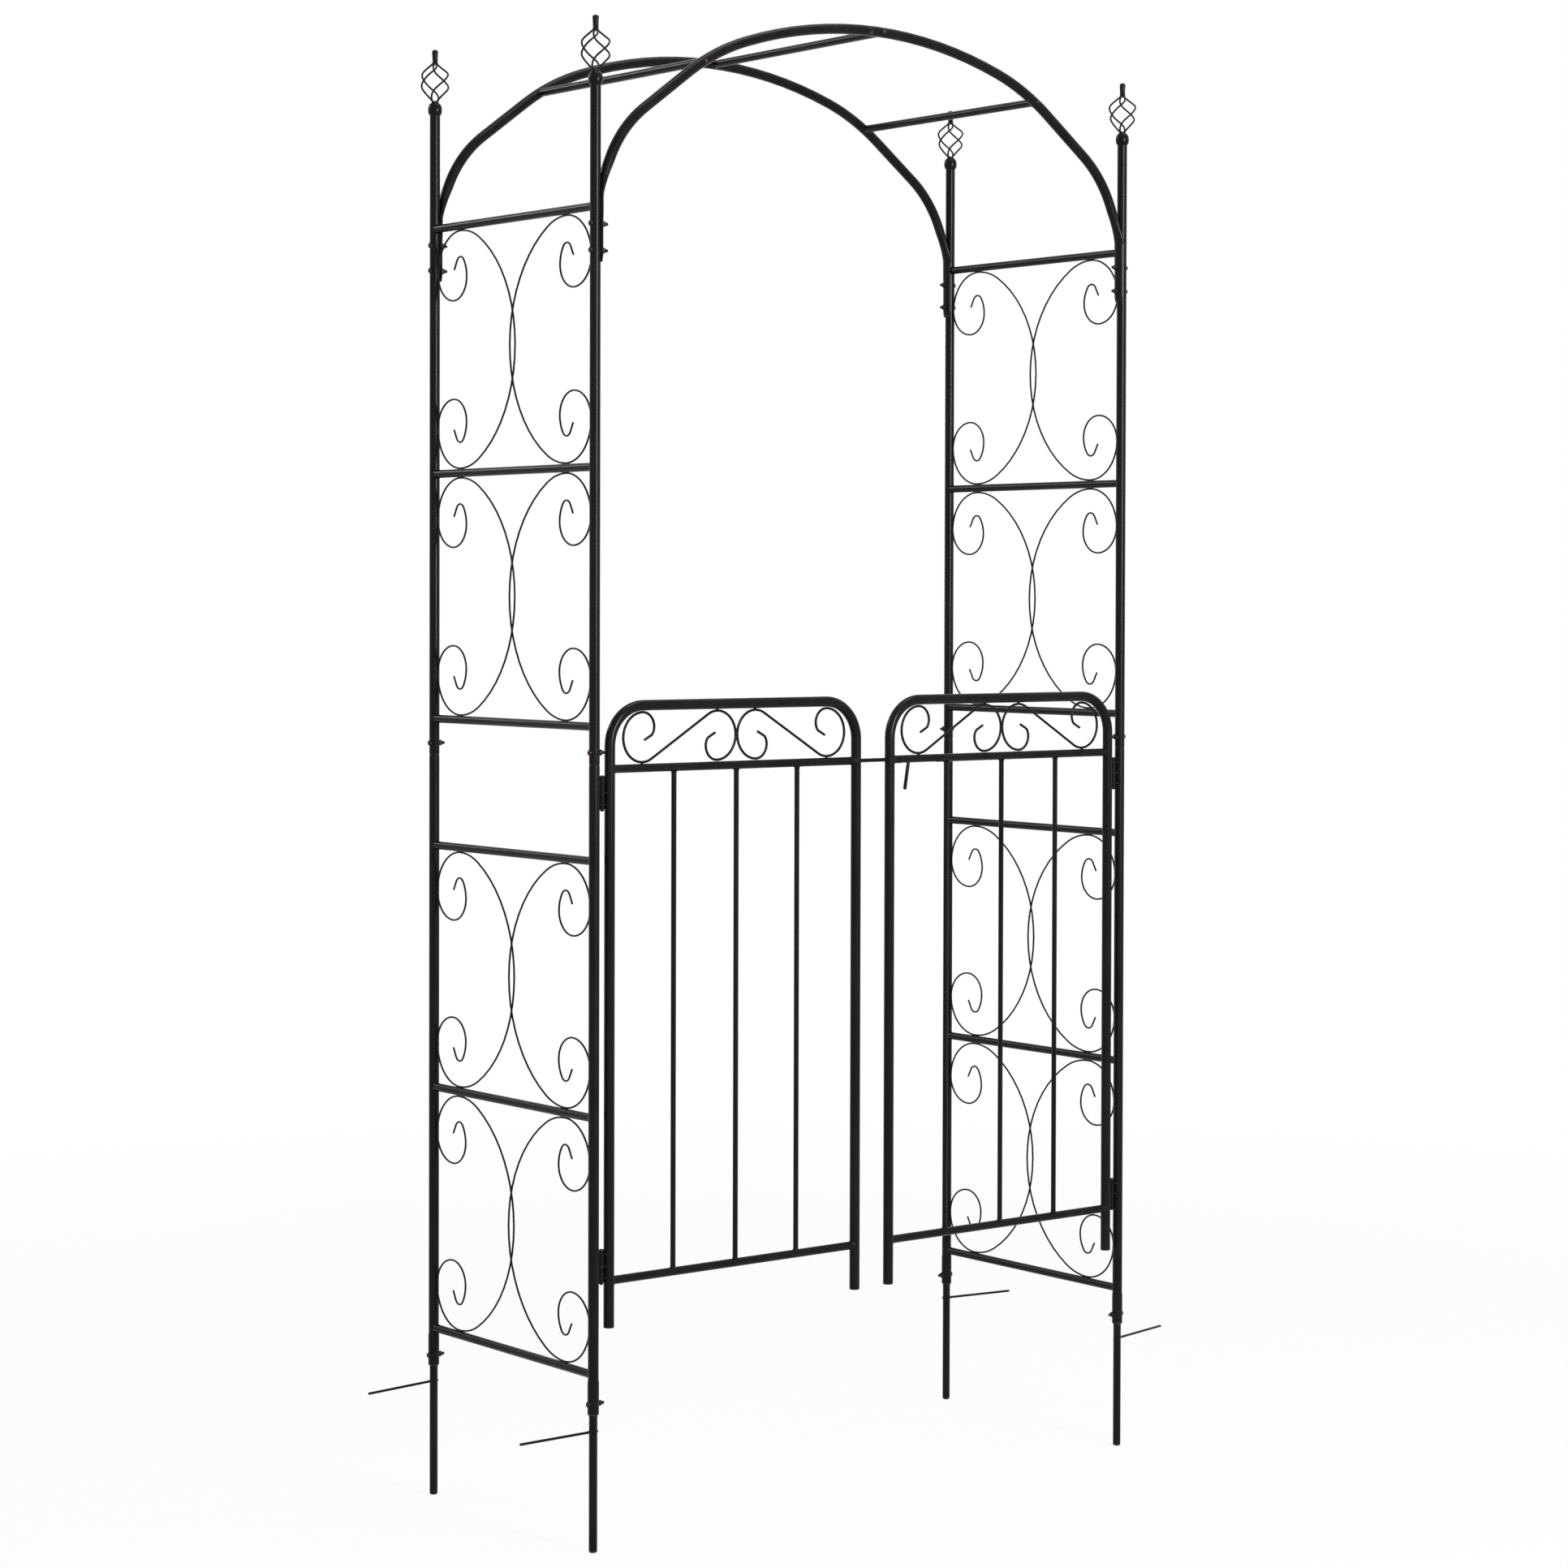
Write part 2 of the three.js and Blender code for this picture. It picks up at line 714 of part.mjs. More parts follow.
// Two S-scrolls back to back between the mid rail and the top rail
function gateScrolls() {
  const floor = midRail + panel.railRadius;
  const ceiling = topRail - gate.radius;
  const middle = (floor + ceiling) / 2;
  const up = (ceiling - floor) / 2 - gate.scrollRadius - fit;
  const across = (gateScrollWidthShare * (hingeStile - latchStile)) / 2;
  const half = fitted(bentRod(gateScrollShares, gateScrollHeading), across, up);
  const below = half.slice(1).map(({ x, y }) => new THREE.Vector2(-x, -y));
  const whole = [...below.reverse(), ...half.slice(1)];
  const curls = [-1, 1].map((side) => {
    const centre = gateMiddle + side * (across + gate.scrollRadius - panel.weld);
    const stations = whole.map(({ x, y }) => place(centre - side * x, 0, middle + y));
    return swept(stations, gate.scrollRadius, wireSides);
  });
  return join(...curls);
}

function latchBolt() {
  const rod = laid(
    (length) => bar(latch.radius, length, rodSides),
    place(latchTip, 0, midRail),
    place(latchTip + latch.length, 0, midRail),
  );
  const handle = laid(
    (length) => bar(latch.handleRadius, length, rodSides),
    place(handleX - latch.handleLean, 0, midRail - latch.handleDrop),
    place(handleX, 0, midRail),
  );
  return join(rod, handle);
}

// Hinges: a leaf is a strip curled against its tube, with a neck to its knuckle
function hingeLeaf(tubeRadius, tubeAxis, way, knuckleFoot, knuckleTop) {
  const inner = tubeRadius + fit;
  const outer = inner + hinge.leafThickness;
  const edge = outer * Math.cos(THREE.MathUtils.degToRad(leafHalfAngle));
  const room = 2 * (outer + overrun);
  const beyond = new THREE.BoxGeometry(room, room, 2 * hinge.height + room);
  beyond.translate(way * (edge - room / 2), 0, 0);
  const strip = cut(tube(outer, inner, hinge.height), beyond);
  const height = knuckleTop - knuckleFoot;
  const middle = inner + hinge.leafThickness / 2;
  const neckLength = hingeReach + tubeRadius - middle;
  const neck = new THREE.BoxGeometry(neckLength, hinge.neckThickness, height).translate(
    way * (middle + neckLength / 2),
    0,
    knuckleFoot + height / 2,
  );
  return join(strip, neck).translate(tubeAxis, 0, 0);
}

function gateLeaf() {
  const foot = hinge.height / 2 + fit / 2;
  const height = hinge.height - foot;
  const knuckle = bar(hinge.knuckleRadius, height).translate(hingeAxis, 0, foot);
  const bore = bar(hinge.pinRadius + fit, hinge.height + overrun).translate(hingeAxis, 0, 0);
  return cut(join(hingeLeaf(gate.radius, hingeStile, 1, foot, hinge.height), knuckle), bore);
}

// The post's leaf holds the pin, with a flat head above and a round one below
function postLeaf() {
  const top = hinge.height / 2 - fit / 2;
  const ball = hinge.pinBallRadius;
  const pin = turned(
    [
      [0, -ball],
      [ball, -ball / 3],
      [ball, 0],
      [hinge.knuckleRadius, 0],
      [hinge.knuckleRadius, top],
      [hinge.pinRadius, top],
      [hinge.pinRadius, hinge.height + fit],
      [hinge.pinHeadRadius, hinge.height + fit],
      [hinge.pinHeadRadius, hinge.height + fit + hinge.pinHeadHeight],
      [0, hinge.height + fit + hinge.pinHeadHeight],
    ],
  ).translate(hingeAxis, 0, 0);
  return join(hingeLeaf(post.radius, span / 2, -1, 0, top), pin);
}

// Assembly
const trellisArch = new THREE.Group();

function add(group, name, geometry, material = blackCoat, height = 0) {
  const mesh = new THREE.Mesh(geometry, material());
  mesh.name = name;
  mesh.position.z = height;
  group.add(mesh);
}

const corners = [
  { name: "front_left", side: -1, row: -1, prongYaw: 0 },
  { name: "front_right", side: 1, row: -1, prongYaw: 12 },
  { name: "back_left", side: -1, row: 1, prongYaw: -7 },
  { name: "back_right", side: 1, row: 1, prongYaw: -10 },
];
const socketFace = post.radius + post.socketSwell;
const footBolt = throughBolt(socketFace, socketFace, boltTail);
const midBolt = throughBolt(post.radius, post.radius, boltTail);
const archBolt = throughBolt(post.radius, saddleFace, boltTail);
const shared = { upper: upperPost(), lower: lowerPost(), finial: finialPiece() };

for (const { name, side, row, prongYaw } of corners) {
  const corner = new THREE.Group();
  corner.position.set((side * span) / 2, (row * depth) / 2, 0);
  corner.rotation.z = side < 0 ? Math.PI : 0;
  add(corner, `ground_stake_${name}`, groundStake(side * prongYaw));
  add(corner, `lower_post_${name}`, shared.lower);
  add(corner, `upper_post_${name}`, shared.upper);
  add(corner, `finial_${name}`, shared.finial);
  add(corner, `foot_bolt_${name}`, footBolt, darkZinc, footBoltHeight);
  add(corner, `mid_bolt_${name}`, midBolt, darkZinc, midBoltHeight);
  add(corner, `arch_bolt_upper_${name}`, archBolt, darkZinc, archBoltHeights[0]);
  add(corner, `arch_bolt_lower_${name}`, archBolt, darkZinc, archBoltHeights[1]);
  trellisArch.add(corner);
}

const rows = [
  { name: "front", row: -1 },
  { name: "back", row: 1 },
];
for (const { name, row } of rows) {
  const plane = new THREE.Group();
  plane.position.y = (row * depth) / 2;
  add(plane, `arch_tube_${name}_left`, archHalf(-1, row));
  add(plane, `arch_tube_${name}_right`, archHalf(1, row));
  trellisArch.add(plane);
}

const outerBar = archAt(crossbar.run);
const innerBar = archAt(middleCrossbar);
add(trellisArch, "crossbar_left", crossbarPiece(-1, outerBar));
add(trellisArch, "crossbar_middle", crossbarPiece(1, innerBar));
add(trellisArch, "crossbar_right", crossbarPiece(1, outerBar));

const lowerPanel = trellisPanel(post.lowSeam + panel.lowerRise, midSeam - panel.lowerDrop);
const upperPanel = trellisPanel(midSeam + panel.upperRise, highestRail);
const upperHinge = topRail - hinge.upperDrop - hinge.height / 2;
const lowerHinge = gateFoot + hinge.lowerRise - hinge.height / 2;
const sides = [
  { name: "left", turn: Math.PI, frame: gateFrame(latch.strikeRadius, 0), rail: gateRail(midRail) },
  {
    name: "right",
    turn: 0,
    frame: gateFrame(latch.radius + fit, gate.radius + overrun),
    rail: slottedRail(),
  },
];

for (const { name, turn, frame, rail } of sides) {
  const flank = new THREE.Group();
  flank.rotation.z = turn;
  const panels = new THREE.Group();
  panels.position.x = span / 2;
  add(panels, `trellis_panel_lower_${name}`, lowerPanel);
  add(panels, `trellis_panel_upper_${name}`, upperPanel);
  flank.add(panels);
  trellisArch.add(flank);

  const swinging = new THREE.Group();
  swinging.position.y = -depth / 2;
  swinging.rotation.z = turn;
  add(swinging, `gate_frame_${name}`, frame);
  add(swinging, `gate_mid_rail_${name}`, rail);
  add(swinging, `gate_grille_${name}`, gateGrille());
  add(swinging, `gate_scrolls_${name}`, gateScrolls());
  add(swinging, `hinge_post_leaf_upper_${name}`, postLeaf(), blackCoat, upperHinge);
  add(swinging, `hinge_post_leaf_lower_${name}`, postLeaf(), blackCoat, lowerHinge);
  add(swinging, `hinge_gate_leaf_upper_${name}`, gateLeaf(), blackCoat, upperHinge);
  add(swinging, `hinge_gate_leaf_lower_${name}`, gateLeaf(), blackCoat, lowerHinge);
  if (turn === 0) add(swinging, "latch_bolt", latchBolt());
  trellisArch.add(swinging);
}

export default trellisArch;
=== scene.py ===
"""The looks of a walk-through garden arch: coated steel posts, scrollwork, a double arch and two gates.

Shapes are worked out in millimetres in the frame of the CAD model, and become metres when a piece is built.
"""

import logging
import math
from collections.abc import Iterable, Sequence
from dataclasses import dataclass
from enum import Enum

import bmesh
import bpy
from mathutils import Matrix, Vector


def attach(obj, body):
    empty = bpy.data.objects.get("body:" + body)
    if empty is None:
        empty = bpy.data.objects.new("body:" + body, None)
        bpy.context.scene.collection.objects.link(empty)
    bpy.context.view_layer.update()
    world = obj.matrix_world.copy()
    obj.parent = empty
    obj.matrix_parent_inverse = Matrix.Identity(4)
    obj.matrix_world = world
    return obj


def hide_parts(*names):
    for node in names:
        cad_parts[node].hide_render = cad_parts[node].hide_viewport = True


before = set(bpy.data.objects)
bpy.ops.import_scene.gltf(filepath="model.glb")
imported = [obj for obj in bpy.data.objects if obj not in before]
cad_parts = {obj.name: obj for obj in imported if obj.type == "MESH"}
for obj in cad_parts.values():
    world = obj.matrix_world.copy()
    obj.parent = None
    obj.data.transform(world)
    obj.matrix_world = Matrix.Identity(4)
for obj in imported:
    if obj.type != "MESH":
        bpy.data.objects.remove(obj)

LOG = logging.getLogger("garden_arch")
MILLIMETRE = 0.001
UP = Vector((0, 0, 1))
UNTURNED = Matrix.Identity(4)

Ring = list[Vector]
Feeds = dict[int | str, object]
WHITE = (1, 1, 1, 1)


class Body(Enum):
    """The moving bodies of the CAD model."""

    FRAME = "frame"
    LEFT_GATE = "left_gate"
    RIGHT_GATE = "right_gate"
    SLIDE_BOLT = "slide_bolt"


class Slot(Enum):
    """The material slots of the record."""

    BLACK_COAT = "black_coat"
    DARK_ZINC = "dark_zinc"


class Side(Enum):
    """Left or right across the walkway."""

    LEFT = -1
    RIGHT = 1

    @property
    def label(self) -> str:
        """The side's word in a node's name."""
        return self.name.lower()


class Row(Enum):
    """Front or back through the walkway."""

    FRONT = -1
    BACK = 1

    @property
    def label(self) -> str:
        """The row's word in a node's name."""
        return self.name.lower()


CORNERS = [f"{row.label}_{side.label}" for row in Row for side in Side]


# Sizes, in millimetres
@dataclass(frozen=True)
class Plan:
    """Where the posts stand and how pieces clear each other."""

    span: float = 1064
    depth: float = 434
    gap: float = 0.3

    @property
    def half(self) -> float:
        """From the middle to a post's axis."""
        return self.span / 2


@dataclass(frozen=True)
class PostSizes:
    """The two tubes of a post."""

    radius: float = 8
    wall: float = 1.2
    low_seam: float = 204
    mid_seam: float = 1163
    top: float = 2160
    swell: float = 0.6
    socket: float = 48
    swage: float = 4
    neck: float = 24
    mouth_depth: float = 30
    open_depth: float = 20
    sides: int = 40


@dataclass(frozen=True)
class StakeSizes:
    """A ground stake and its prong."""

    radius: float = 6.35
    reach: float = 40
    chamfer: float = 1.5
    prong_drop: float = 25
    prong_radius: float = 2
    prong_length: float = 130
    prong_nub: float = 1.5
    ring_drop: float = 4


@dataclass(frozen=True)
class PanelSizes:
    """A side panel's rails and wires."""

    rail: float = 6.35
    wire: float = 1.5
    weld: float = 0.4
    lower: tuple[float, float] = (263, 1021)
    upper: tuple[float, float] = (1219, 1983)
    cells: int = 2
    bow_share: float = 0.035
    bead: float = 1.75
    bead_pitch: float = 1.7
    post_bead: float = 1.6


@dataclass(frozen=True)
class ArchSizes:
    """The bent tubes, their seam and their pressed ends."""

    radius: float = 8
    wall: float = 1.2
    crown: float = 2293
    seam: float = 12
    neck: float = 30
    landing: float = 516.4
    press_top: float = 2021.5
    press_start: float = 2055
    press_power: float = 1.8
    saddle_top: float = 2000
    saddle_foot: float = 1901.5
    thickness: float = 3.7
    ear_angle: float = 74
    flank_angle: float = 58
    sides: int = 32
    grip: float = 0.12
    fold_share: float = 0.53
    notch_room: float = 0.6
    notch_radius: float = 10
    first_angle: float = 30
    first_thickness: float = 5.4
    squeeze: float = 1.1
    press_steps: int = 14
    rail_offsets: tuple[float, ...] = (9.5, 7, 6.8, 6, 4, 1.5, -1.5, -4, -6, -6.8, -7, -9.5)
    flank_heights: tuple[float, ...] = (1962, 1935, 1912)


@dataclass(frozen=True)
class FinialSizes:
    """A collar, a basket of twisted wires and its pin."""

    collar: float = 11
    collar_height: float = 20
    neck: float = 5.2
    basket: float = 23.9
    basket_height: float = 61
    wire: float = 1.5
    wires: int = 4
    turns: float = 0.5
    pin: float = 5
    pin_height: float = 22
    plug: float = 18
    foot_bead: float = 1.9
    top_bead: float = 1.8


@dataclass(frozen=True)
class BoltSizes:
    """A through bolt with a domed head and a hex nut."""

    radius: float = 2.5
    head: float = 4.4
    head_height: float = 3.5
    nut: float = 4
    nut_height: float = 4.4
    tail: float = 10.5
    pitch: float = 0.8
    shoulder: float = 1.2
    foot_rise: float = 16
    mid_rise: float = 18
    arch_drops: tuple[float, float] = (202.5, 241.5)


@dataclass(frozen=True)
class GateSizes:
    """A gate's frame, rails, bars and scrolls, measured from the middle of the walkway."""

    radius: float = 8
    wall: float = 1.2
    latch_stile: float = 34.2
    hinge_stile: float = 504.2
    foot: float = 329.5
    bottom_rail: float = 399
    mid_rail: float = 1156
    top_rail: float = 1249.3
    corner: float = 60
    bars: int = 3
    bar: float = 4
    scroll: float = 2
    scroll_width_share: float = 0.445
    open_depth: float = 30


@dataclass(frozen=True)
class HingeSizes:
    """A pair of leaves, their knuckles and the pin."""

    axis: float = 518.1
    height: float = 49
    lower: float = 397.5
    upper: float = 1097
    leaf: float = 1.1
    leaf_angle: float = 32
    knuckle: float = 3.9
    pin_head: float = 3
    ball: float = 3.4
    neck: float = 2.4


@dataclass(frozen=True)
class LatchSizes:
    """The slide bolt and its leaning handle."""

    radius: float = 3
    tip: float = -25.7
    length: float = 116
    handle: float = 2.8
    handle_run: float = 99.2
    handle_drop: float = 48
    handle_lean: float = 8
    hole: float = 3.7
    slot: tuple[float, float] = (57.2, 131.8)
    slot_room: float = 3.2
    end_dome: float = 1.8
    handle_dome: float = 1.4
    handle_bead: float = 2.6


PLAN = Plan()
POST = PostSizes()
PANEL = PanelSizes()
ARCH = ArchSizes()
GATE = GateSizes()


# Paths
@dataclass(frozen=True)
class Bend:
    """A bend of a rod, or a straight where its turn is zero and its radius is a length."""

    radius: float
    turn: float = 0


def bent_rod(bends: Iterable[Bend], heading: float = 0, fineness: float = 5) -> list[Vector]:
    """The points of a rod bent clockwise in one plane.

    Args:
        bends: Its bends and straights in order.
        heading: Where it starts to go, in degrees from the first axis.
        fineness: The most degrees from one point to the next.

    Returns:
        Points from the origin on.
    """
    points = [Vector((0, 0))]
    angle = math.radians(heading)
    for bend in bends:
        steps = max(1, math.ceil(bend.turn / fineness))
        slice_angle = math.radians(bend.turn) / steps
        length = 2 * bend.radius * math.sin(slice_angle / 2) if bend.turn else bend.radius
        for _ in range(steps):
            angle -= slice_angle / 2
            points.append(points[-1] + length * Vector((math.cos(angle), math.sin(angle))))
            angle -= slice_angle / 2
    return points


def fitted(points: Sequence[Vector], across: float, up: float) -> list[Vector]:
    """Stretches flat points to reach exactly as far across and up as asked."""
    widest = max(abs(point.x) for point in points)
    tallest = max(abs(point.y) for point in points)
    return [Vector((point.x * across / widest, point.y * up / tallest)) for point in points]


def softened(corners: Sequence[Vector], share: float = 0.42, steps: int = 6) -> list[Vector]:
    """Rounds the corners of a path by a share of the shorter leg beside each."""
    points = [corners[0]]
    for before, corner, after in zip(corners, corners[1:], corners[2:]):
        reach = share * min((corner - before).length, (after - corner).length)
        start = corner + reach * (before - corner).normalized()
        end = corner + reach * (after - corner).normalized()
        for step in range(steps + 1):
            t = step / steps
            points.append((1 - t) ** 2 * start + 2 * t * (1 - t) * corner + t * t * end)
    return [*points, corners[-1]]


# Lines of the scrolls and the arch; their builders stretch them to size
CELL_SCROLL = [
    Bend(0.545, 60), Bend(0.272, 30), Bend(0.175, 90), Bend(0.122, 90),
    Bend(0.098, 90), Bend(0.13, 35), Bend(0.03, 117), Bend(0.042),
]
ARCH_BENDS = [Bend(0.775, 18.6), Bend(0.378, 18.1), Bend(0.097), Bend(0.184, 41.3)]
GATE_SCROLL = [
    Bend(0.845), Bend(0.48, 120), Bend(0.495, 90), Bend(0.29, 90),
    Bend(0.24, 35), Bend(0.09, 28), Bend(0.185),
]


# Node trees
class Field:
    """A socket's value, with arithmetic that adds Math nodes."""

    def __init__(self, graph: "Graph", socket: bpy.types.NodeSocket) -> None:
        """Wraps a socket of the graph."""
        self.graph = graph
        self.socket = socket

    def _math(self, operation: str, *values: object) -> "Field":
        """The result of a Math node on these values."""
        return self.graph.field("ShaderNodeMath", dict(enumerate(values)), operation=operation)

    def __add__(self, other: object) -> "Field":
        """The sum."""
        return self._math("ADD", self, other)

    def __radd__(self, other: object) -> "Field":
        """The sum, reflected."""
        return self._math("ADD", other, self)

    def __sub__(self, other: object) -> "Field":
        """The difference."""
        return self._math("SUBTRACT", self, other)

    def __rsub__(self, other: object) -> "Field":
        """The difference, reflected."""
        return self._math("SUBTRACT", other, self)

    def __mul__(self, other: object) -> "Field":
        """The product."""
        return self._math("MULTIPLY", self, other)

    def __rmul__(self, other: object) -> "Field":
        """The product, reflected."""
        return self._math("MULTIPLY", other, self)

    def most(self, other: object) -> "Field":
        """The greater of two values."""
        return self._math("MAXIMUM", self, other)

    def eased(self, low: float, high: float) -> "Field":
        """Zero below low, one above high, smooth between."""
        feeds = {"Value": self, "From Min": low, "From Max": high}
        return self.graph.field("ShaderNodeMapRange", feeds, interpolation_type="SMOOTHSTEP")


class Graph:
    """A node tree and one way to add any node to it."""

    def __init__(self, tree: bpy.types.NodeTree) -> None:
        """Takes over the tree."""
        self.tree = tree

    def node(self, kind: str, feeds: Feeds | None = None, **settings: object) -> bpy.types.Node:
        """Adds a node.

        Args:
            kind: Its type.
            feeds: What its sockets take: a field, another socket or a plain value.
            settings: Its settings, which come before its sockets.

        Returns:
            The node.
        """
        added = self.tree.nodes.new(kind)
        for name, value in settings.items():
            setattr(added, name, value)
        for key, value in (feeds or {}).items():
            source = value.socket if isinstance(value, Field) else value
            if isinstance(source, bpy.types.NodeSocket):
                self.tree.links.new(source, added.inputs[key])
            else:
                added.inputs[key].default_value = source
        return added

    def field(
        self, kind: str, feeds: Feeds | None = None, output: int | str = 0, **settings: object
    ) -> Field:
        """One output of a new node, as a field."""
        return Field(self, self.node(kind, feeds, **settings).outputs[output])


def linked(name: str, data: bpy.types.ID) -> bpy.types.Object:
    """A new object in the scene."""
    added = bpy.data.objects.new(name, data)
    bpy.context.scene.collection.objects.link(added)
    return added


def evaluated(holder: bpy.types.Object) -> bpy.types.Mesh:
    """A plain mesh of an object with its modifiers applied."""
    depsgraph = bpy.context.evaluated_depsgraph_get()
    source = holder.evaluated_get(depsgraph)
    return bpy.data.meshes.new_from_object(source, preserve_all_data_layers=True, depsgraph=depsgraph)


class NodeTool:
    """A Geometry Nodes tree that works on a mesh and leaves a plain one."""

    def __init__(self, name: str, inputs: dict[str, str]) -> None:
        """Makes the tree's sockets.

        Args:
            name: The tree's name.
            inputs: Socket types by name, apart from the geometry.
        """
        tree = bpy.data.node_groups.new(name, "GeometryNodeTree")
        new_socket = tree.interface.new_socket
        new_socket("Geometry", in_out="INPUT", socket_type="NodeSocketGeometry")
        new_socket("Geometry", in_out="OUTPUT", socket_type="NodeSocketGeometry")
        self.identifiers: dict[str, str] = {}
        for label, kind in inputs.items():
            self.identifiers[label] = new_socket(label, in_out="INPUT", socket_type=kind).identifier
        self.graph = Graph(tree)
        self.source = self.graph.node("NodeGroupInput").outputs

    def close(self, geometry: Field) -> None:
        """Ends the tree: real geometry, smooth, in the given material."""
        real = self.graph.field("GeometryNodeRealizeInstances", {0: geometry})
        smooth = self.graph.field("GeometryNodeSetShadeSmooth", {0: real})
        feeds = {"Geometry": smooth, "Material": self.source["Coat"]}
        coated = self.graph.field("GeometryNodeSetMaterial", feeds)
        self.graph.node("NodeGroupOutput", {0: coated})

    def run(self, mesh: bpy.types.Mesh, **values: object) -> bpy.types.Mesh:
        """The tree's result on a mesh.

        Args:
            mesh: What it works on; it is used up.
            values: The tree's inputs, by their names in small letters.

        Returns:
            A plain mesh.
        """
        holder = linked("holder", mesh)
        modifier = holder.modifiers.new("tool", "NODES")
        modifier.node_group = self.graph.tree
        for name, value in values.items():
            modifier[self.identifiers[name.title()]] = value
        result = evaluated(holder)
        bpy.data.objects.remove(holder)
        bpy.data.meshes.remove(mesh)
        return result


class RodSweep(NodeTool):
    """Sweeps every chain of edges into a round rod, and puts a weld bead on every loose point."""

    lump_scale = 0.9

    def __init__(self) -> None:
        """Builds the tree."""
        super().__init__("Rod_Sweep", {"Sides": "NodeSocketInt", "Coat": "NodeSocketMaterial"})
        field = self.graph.field
        paths = self.source["Geometry"]
        girth = self.named("girth")
        bead = self.named("bead")
        curve = field("GeometryNodeMeshToCurve", {0: paths})
        feeds = {"Resolution": self.source["Sides"], "Radius": 1.0}
        profile = field("GeometryNodeCurvePrimitiveCircle", feeds)
        feeds = {"Curve": curve, "Profile Curve": profile, "Scale": girth, "Fill Caps": True}
        rods = field("GeometryNodeCurveToMesh", feeds)
        is_bead = field("FunctionNodeCompare", {0: bead, 1: 0.0}, operation="GREATER_THAN")
        places = field("GeometryNodeMeshToPoints", {0: paths, "Selection": is_bead})
        ball = field("GeometryNodeMeshIcoSphere", {"Radius": 1.0, "Subdivisions": 2})
        beads = field("GeometryNodeInstanceOnPoints", {"Points": places, "Instance": ball, "Scale": bead})
        real = field("GeometryNodeRealizeInstances", {0: beads})
        lump = field("ShaderNodeTexNoise", {"Scale": self.lump_scale, "Detail": 1.0}, output="Color")
        centred = field("ShaderNodeVectorMath", {0: lump, 1: (0.5, 0.5, 0.5)}, operation="SUBTRACT")
        shifted = field("GeometryNodeSetPosition", {"Geometry": real, "Offset": centred})
        feeds = {"Geometry": shifted, "Name": "weld", "Value": 1.0}
        welds = field("GeometryNodeStoreNamedAttribute", feeds, domain="POINT")
        both = self.graph.node("GeometryNodeJoinGeometry")
        for part in (rods, welds):
            self.graph.tree.links.new(part.socket, both.inputs[0])
        self.close(Field(self.graph, both.outputs[0]))

    def named(self, name: str) -> Field:
        """A stored attribute of the points."""
        return self.graph.field("GeometryNodeInputNamedAttribute", {"Name": name}, data_type="FLOAT")


class CornerCopies(NodeTool):
    """Copies one corner's piece to the four posts, turned to face outward."""

    def __init__(self) -> None:
        """Builds the tree."""
        sockets = {"Across": "NodeSocketFloat", "Through": "NodeSocketFloat", "Coat": "NodeSocketMaterial"}
        super().__init__("Corner_Copies", sockets)
        graph = self.graph
        across, through = self.source["Across"], self.source["Through"]
        feeds = {"Size X": across, "Size Y": through, "Vertices X": 2, "Vertices Y": 2}
        grid = graph.field("GeometryNodeMeshGrid", feeds)
        place = graph.field("GeometryNodeInputPosition")
        place_x = graph.field("ShaderNodeSeparateXYZ", {0: place}, output="X")
        is_left = graph.field("FunctionNodeCompare", {0: place_x, 1: 0.0}, operation="LESS_THAN")
        turn = graph.field("ShaderNodeCombineXYZ", {"Z": is_left * math.pi})
        rotation = graph.field("FunctionNodeEulerToRotation", {0: turn})
        feeds = {"Points": grid, "Instance": self.source["Geometry"], "Rotation": rotation}
        self.close(graph.field("GeometryNodeInstanceOnPoints", feeds))


# Finishes
class Finish:
    """A procedural material in object coordinates."""

    def __init__(self, name: str) -> None:
        """Starts an empty material."""
        self.material = bpy.data.materials.new(name)
        self.material.use_nodes = True
        self.graph = Graph(self.material.node_tree)
        self.graph.tree.nodes.clear()
        self.where = self.graph.field("ShaderNodeTexCoord", output="Object")

    def noise(self, scale: float, detail: float = 2, stretch: Sequence[float] = (1, 1, 1)) -> Field:
        """Noise about a half.

        Args:
            scale: Cells in a metre.
            detail: Octaves.
            stretch: How much finer it runs along each axis.

        Returns:
            The noise's value.
        """
        place = self.graph.field("ShaderNodeVectorMath", {0: self.where, 1: stretch}, operation="MULTIPLY")
        return self.graph.field("ShaderNodeTexNoise", {"Vector": place, "Scale": scale, "Detail": detail})

    def stored(self, name: str) -> Field:
        """A value stored on the piece's points, zero where there is none."""
        return self.graph.field("ShaderNodeAttribute", output="Fac", attribute_name=name)

    def mixed(self, share: Field, low: object, high: object) -> Field:
        """A colour between two."""
        return self.graph.field("ShaderNodeMix", {0: share, 6: low, 7: high}, output=2, data_type="RGBA")

    def bump(self, height: Field, distance: float, strength: float = 1) -> Field:
        """A normal for surface relief, its distance in metres."""
        feeds = {"Height": height, "Distance": distance, "Strength": strength}
        return self.graph.field("ShaderNodeBump", feeds)

    def close(self, feeds: dict[int | str, object]) -> None:
        """Ends the material in one principled shader."""
        shader = self.graph.field("ShaderNodeBsdfPrincipled", feeds)
        self.graph.node("ShaderNodeOutputMaterial", {"Surface": shader})


